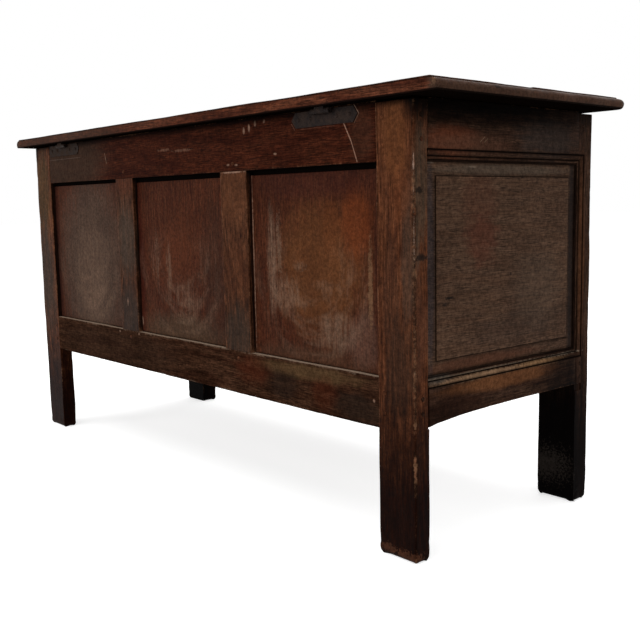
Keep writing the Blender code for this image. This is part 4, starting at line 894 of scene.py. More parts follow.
# %% Scratches
RAIL_SCRATCHES = [
    ((-0.5010, 0.2235, 0.6730), (-0.5170, 0.2235, 0.6450), 0.0024, (0.34, 0.190, 0.130)),
    ((-0.5170, 0.2235, 0.6450), (-0.5305, 0.2235, 0.6120), 0.0020, (0.34, 0.190, 0.130)),
    ((-0.4790, 0.2235, 0.6700), (-0.3960, 0.2235, 0.6700), 0.0012, (0.11, 0.045, 0.028)),
    ((-0.5255, 0.2235, 0.6980), (-0.5362, 0.2235, 0.6845), 0.0015, (0.22, 0.140, 0.100)),
    ((-0.5362, 0.2235, 0.6845), (-0.5260, 0.2235, 0.6710), 0.0015, (0.16, 0.090, 0.060)),
    ((-0.3800, 0.2235, 0.6695), (-0.3720, 0.2235, 0.6800), 0.0014, (0.16, 0.075, 0.048)),
    ((0.2875, 0.2235, 0.6660), (0.2800, 0.2235, 0.6450), 0.0026, (0.17, 0.100, 0.065)),
    ((0.5800, 0.2235, 0.6640), (0.4060, 0.2235, 0.6640), 0.0016, (0.09, 0.060, 0.045))]
END_SCRATCHES = [
    ((-0.65, 0.0750, 0.6390), (-0.65, 0.0640, 0.6470), 0.0014, (0.20, 0.120, 0.075)),
    ((-0.65, 0.0650, 0.6390), (-0.65, 0.0560, 0.6450), 0.0012, (0.16, 0.100, 0.060))]
print("Scratches:", len(RAIL_SCRATCHES + END_SCRATCHES))

# %% [markdown]
# ### The chest's woods
# Each kind of timber has its own three colours, darkest first, and its own marks. The lid's underside
# and the bottom boards never saw wax, so they are pale and dull.

# %% The chest's woods
STILE_OAK = oak("stile_oak", (0.058, 0.018, 0.008), (0.118, 0.039, 0.015), (0.162, 0.057, 0.025), waviness=2.4,
                pores=0.4, stains=STILE_STAINS, wear=0.45)
RAIL_OAK = oak("rail_oak", (0.026, 0.006, 0.003), (0.054, 0.013, 0.006), (0.075, 0.020, 0.009), figure=0.35,
               gloss=0.006, stains=RAIL_STAINS, scratches=RAIL_SCRATCHES)
MUNTIN_OAK = oak("muntin_oak", (0.036, 0.013, 0.006), (0.078, 0.027, 0.012), (0.112, 0.042, 0.019), rings=60.0,
                 waviness=2.6, figure=0.7, fibre=1.8, stains=MUNTIN_STAINS)
LOW_RAIL_OAK = oak("low_rail_oak", (0.024, 0.009, 0.005), (0.049, 0.021, 0.011), (0.068, 0.031, 0.017),
                   bare=(0.34, 0.25, 0.18), gloss=0.0, stains=LOW_RAIL_STAINS)
PANEL_OAK = oak("panel_oak", (0.050, 0.013, 0.006), (0.085, 0.025, 0.011), (0.105, 0.036, 0.016), figure=0.2,
                rough=0.5, fibre=1.2, stains=PANEL_STAINS, haze=0.45)
END_OAK = oak("end_oak", (0.026, 0.012, 0.007), (0.055, 0.027, 0.017), (0.076, 0.041, 0.025), figure=0.3,
              gloss=0.007, stains=END_STAINS, scratches=END_SCRATCHES)
END_PANEL_OAK = oak("end_panel_oak", (0.071, 0.037, 0.022), (0.102, 0.057, 0.035), (0.120, 0.072, 0.047),
                    figure=0.2, streak=0.4, fibre=0.95, stains=END_PANEL_STAINS)
LID_OAK = oak("lid_oak", (0.052, 0.014, 0.007), (0.118, 0.032, 0.014), (0.150, 0.050, 0.025), gloss=0.012,
              rough=0.42, wear=0.6, stains=LID_STAINS)
UNDER_OAK = oak("dry_oak", (0.060, 0.028, 0.015), (0.110, 0.056, 0.032), (0.140, 0.078, 0.046), gloss=0.0,
                rough=0.8)
BOTTOM_OAK = oak("bottom_oak", (0.120, 0.070, 0.040), (0.180, 0.110, 0.065), (0.220, 0.145, 0.090), rough=0.8,
                 gloss=0.05)
print("Oak materials:", len(bpy.data.materials))

# %% [markdown]
# ## Mouldings
# The openings of the ends and the front are framed by a run moulding: a quirk, an ovolo, another
# quirk and a bead, 17.5 mm wide in all. It could be a profile swept round the opening, and then every
# corner would need its mitre built. Here it is one function: how deep the wood lies at a given
# distance out from the opening. Where two sides of the opening meet, the larger of the two distances
# counts, and that alone draws the mitre.

# %% The moulding's section
MOULDING_WIDTH = 0.0175
QUIRK_WIDTH = 0.0018
QUIRK_DEPTH = 0.0016
OVOLO_TOP = 0.0007
OVOLO_WIDTH = 0.0082
OVOLO_DEPTH = 0.0050
BEAD_RADIUS = 0.0020
BEAD_QUIRK = 0.0012
QUIRK_SLOPE = 0.0003
MOULDING_FADE = 0.003


def moulding_table():
    """Distances out from the opening, with the depth, the darkening (dirt and painted shade) and the paleness
    (wear and painted highlight) at each.
    """
    out = MOULDING_WIDTH - QUIRK_WIDTH
    floor = OVOLO_TOP + OVOLO_DEPTH
    bead = out - OVOLO_WIDTH - BEAD_QUIRK - BEAD_RADIUS
    # The dark quirks and the dark foot beside the panel are dirt and painted shade, and the pale crests of the
    # bead and the ovolo's middle are wear and painted highlights.
    rows = [(0.0, floor, 0.7, 0.0), (bead - BEAD_RADIUS - QUIRK_SLOPE, floor, 0.9, 0.0)]
    for turn in np.linspace(0, math.pi, 9):
        rows.append((bead - BEAD_RADIUS * math.cos(turn), floor - BEAD_RADIUS * math.sin(turn),
                     0.8 * (1 - math.sin(turn)) ** 2, 0.6 * math.sin(turn) ** 3))
    rows.append((out - OVOLO_WIDTH - QUIRK_SLOPE, floor, 1.0, 0.0))
    for turn in np.linspace(math.pi / 2, 0, 9):
        rows.append((out - OVOLO_WIDTH * math.sin(turn), floor - OVOLO_DEPTH * math.cos(turn),
                     max(0.95 * math.sin(turn) ** 8, 0.9 * math.cos(turn) ** 40),
                     0.4 * math.sin(2 * turn) ** 2))
    rows += [(out + QUIRK_SLOPE, QUIRK_DEPTH, 1.0, 0.0), (MOULDING_WIDTH - QUIRK_SLOPE, QUIRK_DEPTH, 1.0, 0.0),
             (MOULDING_WIDTH, 0.0003, 0.8, 0.0), (MOULDING_WIDTH + 0.0008, 0.0, 0.25, 0.5),
             (MOULDING_WIDTH + MOULDING_FADE, 0.0, 0.0, 0.0)]
    return np.array(rows).T


MOULDING = moulding_table()
print("Moulding's section:", MOULDING.shape[1], "places, deepest", round(1000 * MOULDING[1].max(), 2), "mm")

# %% [markdown]
# To cut it, a timber's points are measured from the opening and pushed down to the section's depth.
# A Boolean could cut the same shape, but it would leave no grid lines along the edges and no marks
# for the dirt and painted shade. The grid lines that the section needs are laid when the timber is drawn.

# %% Cutting the moulding
SIDE_FRAMES = {
    "left": (X, -END_FACE, 1.0, Y),
    "right": (X, END_FACE, -1.0, Y),
    "front": (Y, FRONT_FACE, 1.0, X),
    "rear": (Y, REAR_FACE, -1.0, X)}
UNBOUNDED = 1.0
MOULDING_SKIN = 0.0004
MOULDING_EDGE = 0.001
LEAST_LINE = 0.0004


def outside(points, side, u, v):
    """How far each point lies outside an opening, and how deep it lies behind the side's face."""
    axis, face, way, along = SIDE_FRAMES[side]
    far_u = np.maximum(u[0] - points[..., along], points[..., along] - u[1])
    far_v = np.maximum(v[0] - points[..., Z], points[..., Z] - v[1])
    return np.maximum(far_u, far_v), (points[..., axis] - face) * way


def sink(points, side, depth):
    """The points with those above a given depth behind the side's face pushed down to it."""
    axis, face, way, _ = SIDE_FRAMES[side]
    moved = points.copy()
    below = np.maximum((points[..., axis] - face) * way, depth)
    moved[..., axis] = face + way * below
    return moved


def run_moulding(points, marks, side, u, v):
    """Cuts the moulding round an opening into a timber's points, with its quirks darkened by dirt and painted
    shade, and its crests paled by wear and painted highlight.
    """
    far, deep = outside(points, side, u, v)
    depth = np.interp(far, MOULDING[0], MOULDING[1])
    near = (far < MOULDING_WIDTH + MOULDING_FADE) & (deep < depth + MOULDING_SKIN)
    moved = sink(points, side, np.where(far < MOULDING_WIDTH + MOULDING_EDGE, depth, -1.0))
    marks["nook"] = np.where(near, np.interp(far, MOULDING[0], MOULDING[2]), marks["nook"])
    marks["arris"] = np.where(near, np.interp(far, MOULDING[0], MOULDING[3]), marks["arris"])
    return moved, marks


def moulding_lines(edge, way):
    """Where a timber needs grid lines so that the moulding's edges fall on them."""
    return [edge + way * far for far in MOULDING[0] if far > LEAST_LINE]


print("Grid lines for one edge of it:", len(moulding_lines(0.0, 1)))

# %% [markdown]
# ### Fielded panels
# A panel's edge is another depth by distance, this time measured inwards from the opening. The field
# stands up by a small step, and its border falls away to the groove. On the real panel a plane cut
# that border, and here the same push downwards does.

# %% Panels' edges
FIELD_BORDER = 0.022
FIELD_STEP = 0.0016
FIELD_STEP_WIDTH = 0.0006
BORDER_FALL = 0.0019
FIELD_DEPTH = 0.0050
FIELD_WAX_AND_SHEEN = 0.15
FIELD_SKIN = 0.0008
BORDER_TOP = FIELD_DEPTH + FIELD_STEP
BORDER_LOW = BORDER_TOP + BORDER_FALL
# The darkening at the border's outer edge and at the step's foot is dirt and painted shade, and the pale edge
# of the step is wear and a painted highlight.
FIELD = np.array([
    (-0.010, BORDER_LOW, 1.0, 0.0),
    (0.0, BORDER_LOW, 1.0, 0.0),
    (0.0015, BORDER_LOW - 0.00013, 0.55, 0.0),
    (0.006, BORDER_LOW - 0.00052, 0.0, 0.0),
    (0.014, BORDER_LOW - 0.00121, 0.0, 0.0),
    (FIELD_BORDER - 0.0015, BORDER_TOP + 0.00013, 0.4, 0.0),
    (FIELD_BORDER, BORDER_TOP, 1.0, 0.0),
    (FIELD_BORDER + FIELD_STEP_WIDTH, FIELD_DEPTH + 0.0003, 0.4, 0.5),
    (FIELD_BORDER + 0.0014, FIELD_DEPTH, 0.0, 0.9),
    (FIELD_BORDER + 0.005, FIELD_DEPTH, 0.0, 0.0)]).T


def spot(points, side, u, v):
    """Each point's place in its opening, from -1 to 1 both ways."""
    along = SIDE_FRAMES[side][3]
    across = (points[..., along] - sum(u) / 2) / (u[1] - u[0]) * 2
    up = (points[..., Z] - sum(v) / 2) / (v[1] - v[0]) * 2
    return np.stack([across, up, np.zeros_like(up)], -1)


def raise_field(points, marks, side, u, v):
    """Lays a panel's face down to its field, step and border, with creases darkened by dirt and painted shade,
    and a step edge paled by wear and a painted highlight.
    """
    far, deep = outside(points, side, u, v)
    depth = np.interp(-far, FIELD[0], FIELD[1])
    moved = sink(points, side, depth)
    marks["spot"] = spot(points, side, u, v)
    marks["film"] = np.full(far.shape, FIELD_WAX_AND_SHEEN)
    near = deep < depth + FIELD_SKIN
    marks["nook"] = np.where(near, np.interp(-far, FIELD[0], FIELD[2]), marks["nook"])
    marks["arris"] = np.where(near, np.interp(-far, FIELD[0], FIELD[3]), 0.0)
    return moved, marks


def field_lines(opening):
    """Grid lines inside an opening, so that the field's edges fall on them at both ends."""
    return [opening[0] + far for far in FIELD[0]] + [opening[1] - far for far in FIELD[0]]


print("Field's step and fall, mm:", round(1000 * FIELD_STEP, 2), round(1000 * BORDER_FALL, 2))

# %% [markdown]
# ## Pegs
# Each tenon is held by a peg of cleft oak, whittled to a rough round and left a little proud. The
# solids already hold the pegs, so their places are found from the corners that stand in front of a
# face. Each end is redrawn as a low dome with nine uneven corners.

# %% Pegs
PEG_PROUD = 0.0006
PEG_RADIUS = 0.0042
PEG_CORNERS = 9
PEG_RINGS = np.array([(1.0, 0.003, 0.9), (1.0, -0.0001, 0.9), (0.90, -0.0005, 0.0), (0.55, -PEG_PROUD, 0.0)])


def solid_points(node):
    """A solid's corners in the chest's own frame, as one array."""
    flat = np.empty(3 * len(node.data.vertices))
    node.data.vertices.foreach_get("co", flat)
    turn = np.array(node.matrix_world)
    return flat.reshape(-1, 3) @ turn[:3, :3].T + turn[:3, 3]


def peg_places(side, names):
    """Where the solids' pegs stand proud of a side: the middles of the groups of their proud corners."""
    axis, face, way, along = SIDE_FRAMES[side]
    corners = np.concatenate([solid_points(frame["nodes"][name]) for name in names])
    heads = corners[(corners[:, axis] - face) * way < -PEG_PROUD / 2][:, [along, Z]]
    places = []
    while len(heads):
        near = np.linalg.norm(heads - heads[0], axis=1) < 3 * PEG_RADIUS
        places.append(heads[near].mean(0))
        heads = heads[~near]
    return np.array(places)


def peg_heads(name, side, names, look, dirt):
    """The ends of a side's pegs: each a low dome whose corners were whittled by eye."""
    axis, face, way, along = SIDE_FRAMES[side]
    places = peg_places(side, names)
    dice = np.random.default_rng(len(name))
    turns = np.linspace(0, 2 * math.pi, PEG_CORNERS, endpoint=False)
    uneven = PEG_RADIUS * dice.uniform(0.82, 1.0, (len(places), 1, PEG_CORNERS))
    radius = uneven * PEG_RINGS[:, 0][None, :, None]
    points = np.zeros((*radius.shape, 3))
    points[..., along] = places[:, 0][:, None, None] + radius * np.cos(turns)
    points[..., Z] = places[:, 1][:, None, None] + radius * np.sin(turns)
    points[..., axis] = face + way * PEG_RINGS[:, 1][None, :, None]
    one = lattice(len(PEG_RINGS), PEG_CORNERS, True).tolist()
    one += [list(range(PEG_CORNERS - 1, -1, -1)), list(range(3 * PEG_CORNERS, 4 * PEG_CORNERS))]
    turned = way * (1 if along == X else -1) > 0
    faces = []
    for number in range(len(places)):
        shift = number * len(PEG_RINGS) * PEG_CORNERS
        faces += [[shift + corner for corner in (face_corners if turned else face_corners[::-1])]
                  for face_corners in one]
    nook = np.broadcast_to(dirt * PEG_RINGS[:, 2][None, :, None], radius.shape)
    marks = {"arris": nook * 0, "nook": nook, "tone": nook * 0 + 0.2,
             "grain": points[..., [axis, along, Z]] + dice.uniform(-3, 3, 3)}
    print(name, len(places), "pegs")
    return piece_of(name, points, faces, look, [], marks)


print("A peg's radius and how proud it stands, mm:", 1000 * PEG_RADIUS, 1000 * PEG_PROUD)

# %% [markdown]
# ## The stiles
# Each stile runs from the lid to the floor. The rear ones are plain, and the front ones carry the
# moulding on two faces. The near arris has been knocked most, so its radius is largest and chips are
# gone from it: each is a ball's dent, with every point inside the ball pushed out to its skin. The
# feet are eaten back unevenly, because they stood on damp stone.

# %% Chips and feet
LEG_LEDGE_Z = 0.207
EDGE_REBATE = (0.0025, 0.004)
END_RAIL_LOW = 0.2195
FOOT_HEIGHT = 0.055
FOOT_EATEN = 0.016
FOOT_WAVE = 0.022
CHIP_BARE = 1.55
CHIPS = tuple((-END_FACE - 0.0012, REAR_FACE + 0.0012, z, radius) for z, radius in (
    (0.606, 0.0030), (0.592, 0.0031), (0.548, 0.0024), (0.505, 0.0025), (0.452, 0.0023),
    (0.395, 0.0024), (0.330, 0.0023), (0.262, 0.0025), (0.218, 0.0040), (0.213, 0.0034), (0.156, 0.0048),
    (0.149, 0.0042), (0.004, 0.0050)))


def scoop(points, marks, spots):
    """Scoops wood away: a point inside a ball is pushed out to the ball's skin, and is bare."""
    for x, y, z, radius in spots:
        offset = points - (x, y, z)
        away = np.linalg.norm(offset, axis=-1)
        inside = away < radius
        pushed = points + offset * (radius / np.maximum(away, 1e-6) - 1)[..., None]
        points = np.where(inside[..., None], pushed, points)
        marks["arris"] = np.where(inside, CHIP_BARE, marks["arris"])
    return points, marks


def worn_foot(points):
    """A foot's sides eaten back a little towards its middle, more the nearer they are to the floor."""
    middle = points.mean(axis=1, keepdims=True)
    low = smoothstep(0.0, FOOT_HEIGHT, FOOT_HEIGHT - points[..., Z])
    eaten = FOOT_EATEN * (1 + ripple(points, FOOT_WAVE, 77, 4)) * low
    return points + (middle - points) * (1, 1, 0) * eaten[..., None]


def mirrored(shape):
    """The same shaping for the chest's right, done in the left's places and turned back after."""
    def turned(points, marks):
        flipped, marks = shape(points * (-1, 1, 1), marks)
        return flipped * (-1, 1, 1), marks
    return turned


print("Chips along the near arris:", len(CHIPS))

# %% [markdown]
# A rear stile has a shallow rebate where the end panel's frame meets it, and the rebate's floor is
# darker. The face that it turns towards a panel is painted dark as shade. A front stile takes the moulding
# of two openings, and under the end's rail its face steps back to the leg. Each is a shaping function, so
# the same beam can carry it.

# %% The stiles' shaping
HAIR = 0.0001
NEAR_EDGE = 0.0006
EDGE_DARKENING = 0.9
REBATE_DARK_DEEP = 0.002


def turned_in(points, u, v):
    """Where a rear timber's face turns towards a plain opening, and how deep each point lies."""
    far, deep = outside(points, "rear", u, v)
    return (far < NEAR_EDGE) & (deep > NEAR_EDGE), deep


def rear_stile_shape(chips):
    """The rear stile's rebate beside the end panel, and its chips."""
    def shape(points, marks):
        up = points[..., Z]
        beside = points[..., Y] < END_SHOULDERS[1] + EDGE_REBATE[0] + HAIR
        cut = beside & (up > LEG_LEDGE_Z - HAIR) & (up < MOULDED_OPENING[1] + MOULDING_WIDTH + HAIR)
        # The rebate's floor is darkened.
        darker_rebate = cut & (points[..., X] < -END_FACE + REBATE_DARK_DEEP)
        marks["nook"] = np.where(darker_rebate, EDGE_DARKENING, marks["nook"])
        points = np.where(cut[..., None], sink(points, "left", EDGE_REBATE[1]), points)
        # The face turned towards the opening is painted dark as shade.
        inward, _ = turned_in(points, (REAR_SHOULDERS[0], 0.0), REAR_OPENING)
        marks["nook"] = np.where(inward, EDGE_DARKENING, marks["nook"])
        return scoop(worn_foot(points), marks, chips)
    return shape


def front_stile_shape(points, marks):
    """The front stile's mouldings towards the end's and the front's openings, and the leg's ledge."""
    points, marks = run_moulding(points, marks, "left", (END_SHOULDERS[0], UNBOUNDED), MOULDED_OPENING)
    points, marks = run_moulding(points, marks, "front", (FRONT_SHOULDERS[0], 0.0), MOULDED_OPENING)
    low = (points[..., Z] > LEG_LEDGE_Z) & (points[..., Z] < END_RAIL_LOW)
    beside = points[..., Y] > END_SHOULDERS[0] - MOULDING_WIDTH
    points = np.where((low & beside)[..., None], sink(points, "left", QUIRK_DEPTH), points)
    return worn_foot(points), marks


def either_side(places, step):
    """Stations just before and just after each place, so that a cut begins and ends crisply."""
    return [place + way * step for place in places for way in (-1, 1)]


print("Leg's ledge and end rail's underside, m:", LEG_LEDGE_Z, END_RAIL_LOW)

# %% [markdown]
# Both stiles of a pair are drawn in one turn of a loop. The right one's shaping is the left's, done
# in a mirror, but its wandering values have their own seed, so no two stiles are quite alike.

# %% Stiles
CUT_STEP = 0.0004
FRAME_SLOT = "oak_frame"
FOOT_STATIONS = list(np.linspace(0.010, 0.060, 14))
OPENING_STATIONS = (moulding_lines(MOULDED_OPENING[1], 1) + moulding_lines(MOULDED_OPENING[0], -1)
                    + either_side((LEG_LEDGE_Z, END_RAIL_LOW), CUT_STEP))
REBATE_STATIONS = either_side((LEG_LEDGE_Z, MOULDED_OPENING[1] + MOULDING_WIDTH), CUT_STEP)
stile_z = (0.0, STILE_TOP)
for side, way, inner in (("left", -1, 0), ("right", 1, 1)):
    chips = CHIPS if way < 0 else tuple((a, b, c + 0.03, r * 0.7) for a, b, c, r in CHIPS)
    shape = rear_stile_shape(chips)
    x = sorted((way * END_FACE, REAR_SHOULDERS[inner]))
    y = (END_SHOULDERS[1], REAR_FACE)
    rounds = (0.0010, 0.0012, 0.0009, 0.0026) if way < 0 else (0.0012, 0.0010, 0.0024, 0.0009)
    rebate_lines = [y[0] + EDGE_REBATE[0], y[0] + EDGE_REBATE[0] + 0.0003]
    fine = [z for chip in chips for z in np.linspace(chip[2] - chip[3], chip[2] + chip[3], 7)]
    beam(f"rear_{side}_stile", Z, x, y, stile_z, (STILE_OAK, FRAME_SLOT), rounds,
         {1 if way > 0 else 3: rebate_lines}, fine + FOOT_STATIONS + REBATE_STATIONS, (0.007, 0.0008), 0.0005,
         seed=11 + way, shape=shape if way < 0 else mirrored(shape))
    x = sorted((way * END_FACE, FRONT_SHOULDERS[inner]))
    y = (FRONT_FACE, END_SHOULDERS[0])
    rounds = (0.0024, 0.0004, 0.0012, 0.0004) if way < 0 else (0.0004, 0.0024, 0.0004, 0.0012)
    lines = {0: moulding_lines(FRONT_SHOULDERS[inner], way), 3 if way < 0 else 1: moulding_lines(y[1], -1)}
    beam(f"front_{side}_stile", Z, x, y, stile_z, (END_OAK, FRAME_SLOT), rounds, lines,
         OPENING_STATIONS + FOOT_STATIONS, (0.008, 0.0008), 0.0005, seed=21 + way,
         shape=front_stile_shape if way < 0 else mirrored(front_stile_shape))
    print(side, "stiles span", [round(edge, 3) for edge in x], "along x")

# %% [markdown]
# ## Rails and muntins
# A rail stands between its two stiles, and a muntin between two rails. The muntins part each long
# side into three openings. Where the moulding turns a corner it is cut into the longer timber, just
# as a joiner mitres it, so every timber is shaped by all the openings that it borders.

# %% Openings
def openings_of(side, shoulders):
    """A long side's three openings, between its shoulders and its two muntins."""
    left, right = [span(f"{side}_{place}_muntin", X) for place in ("left", "right")]
    return [(shoulders[0], left[0]), (left[1], right[0]), (right[1], shoulders[1])]


REAR_OPENINGS = openings_of("rear", REAR_SHOULDERS)
FRONT_OPENINGS = openings_of("front", FRONT_SHOULDERS)
print("Front openings:", [[round(place, 3) for place in opening] for opening in FRONT_OPENINGS])

# %% [markdown]
# The front's timbers get the moulding, and its top rail a hole behind the keyhole's plate. The end's
# bottom rail was hewn from a waney board: its underside dips towards the rear stile. A plain opening
# at the back has no moulding, but its inner faces are painted black as shade, and its ledge is painted
# pale, as dust and as a highlight.

# %% The rails' shaping
KEYHOLE_X = 0.0040
KEYHOLE_Z = (0.648, 0.668)
KEYHOLE_DEEP = 0.012
KEYHOLE_FACE = 0.002
UNDERSIDE_DROP = 0.010
UNDERSIDE_FADE = 0.065
LEDGE_DUST_AND_HIGHLIGHT = 1.65
LEDGE_DEEP = 0.0095


def front_shape(points, marks):
    """The moulding round each of the front's three openings, and the keyhole behind its plate."""
    _, deep = outside(points, "front", (0.0, 0.0), MOULDED_OPENING)
    across, up = np.abs(points[..., X]), points[..., Z]
    hole = (across < KEYHOLE_X) & (up > KEYHOLE_Z[0]) & (up < KEYHOLE_Z[1]) & (deep < KEYHOLE_FACE)
    points = np.where(hole[..., None], sink(points, "front", KEYHOLE_DEEP), points)
    # The keyhole's floor is painted black as shade.
    marks["nook"] = np.where(hole, 1.0, marks["nook"])
    for opening in FRONT_OPENINGS:
        points, marks = run_moulding(points, marks, "front", opening, MOULDED_OPENING)
    return points, marks


def end_shape(side, drop=0.0):
    """The moulding along an end's rail, which butts against the rear stile, and an underside that dips.

    The dip is the drop times e to the power of the distance from the rear stile over a fade length.
    """
    def shape(points, marks):
        points, marks = run_moulding(points, marks, side, (END_SHOULDERS[0], UNBOUNDED), MOULDED_OPENING)
        if drop:
            dip = drop * np.exp((points[..., Y] - END_SHOULDERS[1]) / UNDERSIDE_FADE)
            low = END_RAIL_LOW - drop
            height = (points[..., Z] - low) / (MOULDED_OPENING[0] - 0.02 - low)
            points[..., Z] += (drop - dip) * np.clip(1 - height, 0, 1)
        return points, marks
    return shape


def rear_shape(points, marks):
    """Painted shade on the faces that a plain opening's members turn towards it, and a ledge painted pale as
    dust and as a highlight.
    """
    for opening in REAR_OPENINGS:
        inward, deep = turned_in(points, opening, REAR_OPENING)
        ledge = inward & (points[..., Z] < REAR_OPENING[0] + 0.001) & (deep < LEDGE_DEEP)
        above = points[..., Z] > REAR_OPENING[1] - 0.001
        # Painted shade: the rail's underside above the opening is fully dark, and the faces turned in darken
        # the deeper they lie.
        shade = np.where(above, 1.0, np.interp(deep, (0.0, 0.007, 0.009), (0.35, 0.45, 1.0)))
        marks["nook"] = np.where(inward & ~ledge, shade, marks["nook"])
        # The ledge's top is painted pale, as dust and as a highlight.
        marks["arris"] = np.where(ledge, LEDGE_DUST_AND_HIGHLIGHT, marks["arris"])
    return points, marks


print("Keyhole's height above the floor:", KEYHOLE_Z)

# %% [markdown]
# The long rails are the chest's widest boards. They stop a hair short of the stiles, because a joint
# that has shrunk shows as a dark line.

# %% Long rails
SNUG = 0.0002
PANEL_DEEP = 0.009
TIGHT = (0.0003, 0.0003)
rear_stations = either_side([place for opening in REAR_OPENINGS for place in opening], CUT_STEP)
front_stations = [place for a, b in FRONT_OPENINGS for far in MOULDING[0] for place in (a - far, b + far)]
rear_x = (REAR_SHOULDERS[0] + SNUG, REAR_SHOULDERS[1] - SNUG)
front_x = (FRONT_SHOULDERS[0] + SNUG, FRONT_SHOULDERS[1] - SNUG)
back_y = (REAR_FACE - RAIL_THICK, REAR_FACE)
face_y = (FRONT_FACE, FRONT_FACE + RAIL_THICK)
look = (RAIL_OAK, FRAME_SLOT)
low_look = (LOW_RAIL_OAK, FRAME_SLOT)
beam("rear_top_rail", X, back_y, (REAR_OPENING[1], RAIL_TOP), rear_x, look, (0.0008, 0.0010, 0.0012, 0.0008),
     {0: [REAR_FACE - PANEL_DEEP]}, rear_stations, TIGHT, seed=31, shape=rear_shape)
beam("rear_bottom_rail", X, back_y, (LONG_RAIL_LOW, REAR_OPENING[0]), rear_x, low_look,
     (0.0015, 0.0020, 0.0014, 0.0008), {2: [REAR_FACE - PANEL_DEEP]}, rear_stations, TIGHT, seed=32,
     shape=rear_shape)
keyhole_lines = either_side(KEYHOLE_Z, SNUG)
keyhole_stations = either_side((-KEYHOLE_X, KEYHOLE_X), SNUG)
beam("front_top_rail", X, face_y, (MOULDED_OPENING[1], RAIL_TOP), front_x, look,
     (0.0004, 0.0008, 0.0010, 0.0012), {3: moulding_lines(MOULDED_OPENING[1], 1) + keyhole_lines},
     front_stations + keyhole_stations, TIGHT, seed=33, shape=front_shape)
beam("front_bottom_rail", X, face_y, (LONG_RAIL_LOW, MOULDED_OPENING[0]), front_x, low_look,
     (0.0020, 0.0014, 0.0008, 0.0004), {3: moulding_lines(MOULDED_OPENING[0], -1)}, front_stations, TIGHT,
     seed=34, shape=front_shape)
print("Long rails' stations at the back and front:", len(rear_stations), len(front_stations))

# %% [markdown]
# The end rails are short, and only their outer face is worked. The left and right are drawn alike,
# with the moulding's grid lines on whichever side looks outwards.

# %% End rails
end_y = (END_SHOULDERS[0] + SNUG, END_SHOULDERS[1] - SNUG)
dip_stations = list(np.linspace(0.10, 0.19, 14))
for side, way, outer in (("left", -1, 0), ("right", 1, 2)):
    x = sorted((way * END_FACE, way * (END_FACE - RAIL_THICK)))
    beam(f"{side}_end_top_rail", Y, (MOULDED_OPENING[1], RAIL_TOP), x, end_y, (END_OAK, FRAME_SLOT),
         (0.0004, 0.0008, 0.0008, 0.0010), {outer: moulding_lines(MOULDED_OPENING[1], 1)}, (), TIGHT,
         seed=41 + way, shape=end_shape(side))
    beam(f"{side}_end_bottom_rail", Y, (END_RAIL_LOW - UNDERSIDE_DROP, MOULDED_OPENING[0]), x, end_y,
         (END_OAK, FRAME_SLOT), (0.0018, 0.0008, 0.0008, 0.0018),
         {outer: moulding_lines(MOULDED_OPENING[0], -1)}, dip_stations, TIGHT, seed=45 + way,
         shape=end_shape(side, UNDERSIDE_DROP))
print("End rails' length:", round(end_y[1] - end_y[0], 4))

# %% [markdown]
# A muntin is a short post between the long rails. At the back it is plain, and at the front each of
# its two edges carries the moulding of the opening beside it.

# %% Muntins
rear_z = (REAR_OPENING[0] + SNUG, REAR_OPENING[1] - SNUG)
front_z = (MOULDED_OPENING[0] + SNUG, MOULDED_OPENING[1] - SNUG)
for index, side in enumerate(("left", "right")):
    beam(f"rear_{side}_muntin", Z, span(f"rear_{side}_muntin", X), back_y, rear_z, (MUNTIN_OAK, FRAME_SLOT),
         (0.0008, 0.0008, 0.0012, 0.0012), ends=TIGHT, seed=51 + index, shape=rear_shape)
    x = span(f"front_{side}_muntin", X)
    beam(f"front_{side}_muntin", Z, x, face_y, front_z, (RAIL_OAK, FRAME_SLOT),
         (0.0004, 0.0004, 0.0008, 0.0008), {0: moulding_lines(x[0], 1) + moulding_lines(x[1], -1)}, (), TIGHT,
         seed=55 + index, shape=front_shape)
print("Front muntin's width:", round(x[1] - x[0], 4))

# %% [markdown]
# With every timber in place, the pegs' ends go onto the four sides. At the back they are nearly the
# stile's own colour, because hands and wax have gone over them together.

# %% Peg ends on the four sides
def stiles_of(places, sides):
    """The names of the stiles at these places and sides."""
    return [f"{place}_{side}_stile" for place in places for side in sides]


for side, dirt in (("rear", 0.35), ("front", 0.9)):
    held = [f"{side}_top_rail", f"{side}_bottom_rail", *stiles_of([side], ("left", "right"))]
    peg_heads(f"{side}_pegs", side, held, (STILE_OAK, FRAME_SLOT), dirt)
for side in ("left", "right"):
    peg_heads(f"{side}_end_pegs", side, stiles_of(("rear", "front"), [side]), (END_OAK, FRAME_SLOT), 0.9)

# %% [markdown]
# ## Panels
# The rear panels are plain boards that sit loose in grooves. In three centuries they have shrunk and
# slid down, so a dark gap, not quite even, shows under the top rail. It could be left to shadow alone,
# but a solid fills it, so the board's face is pushed back there, and the gap and the board's edges are
# also painted dark as shade.

# %% Rear panels
PANEL_FACE_DEEP = 0.0105
GAP_DEEP = 0.0145


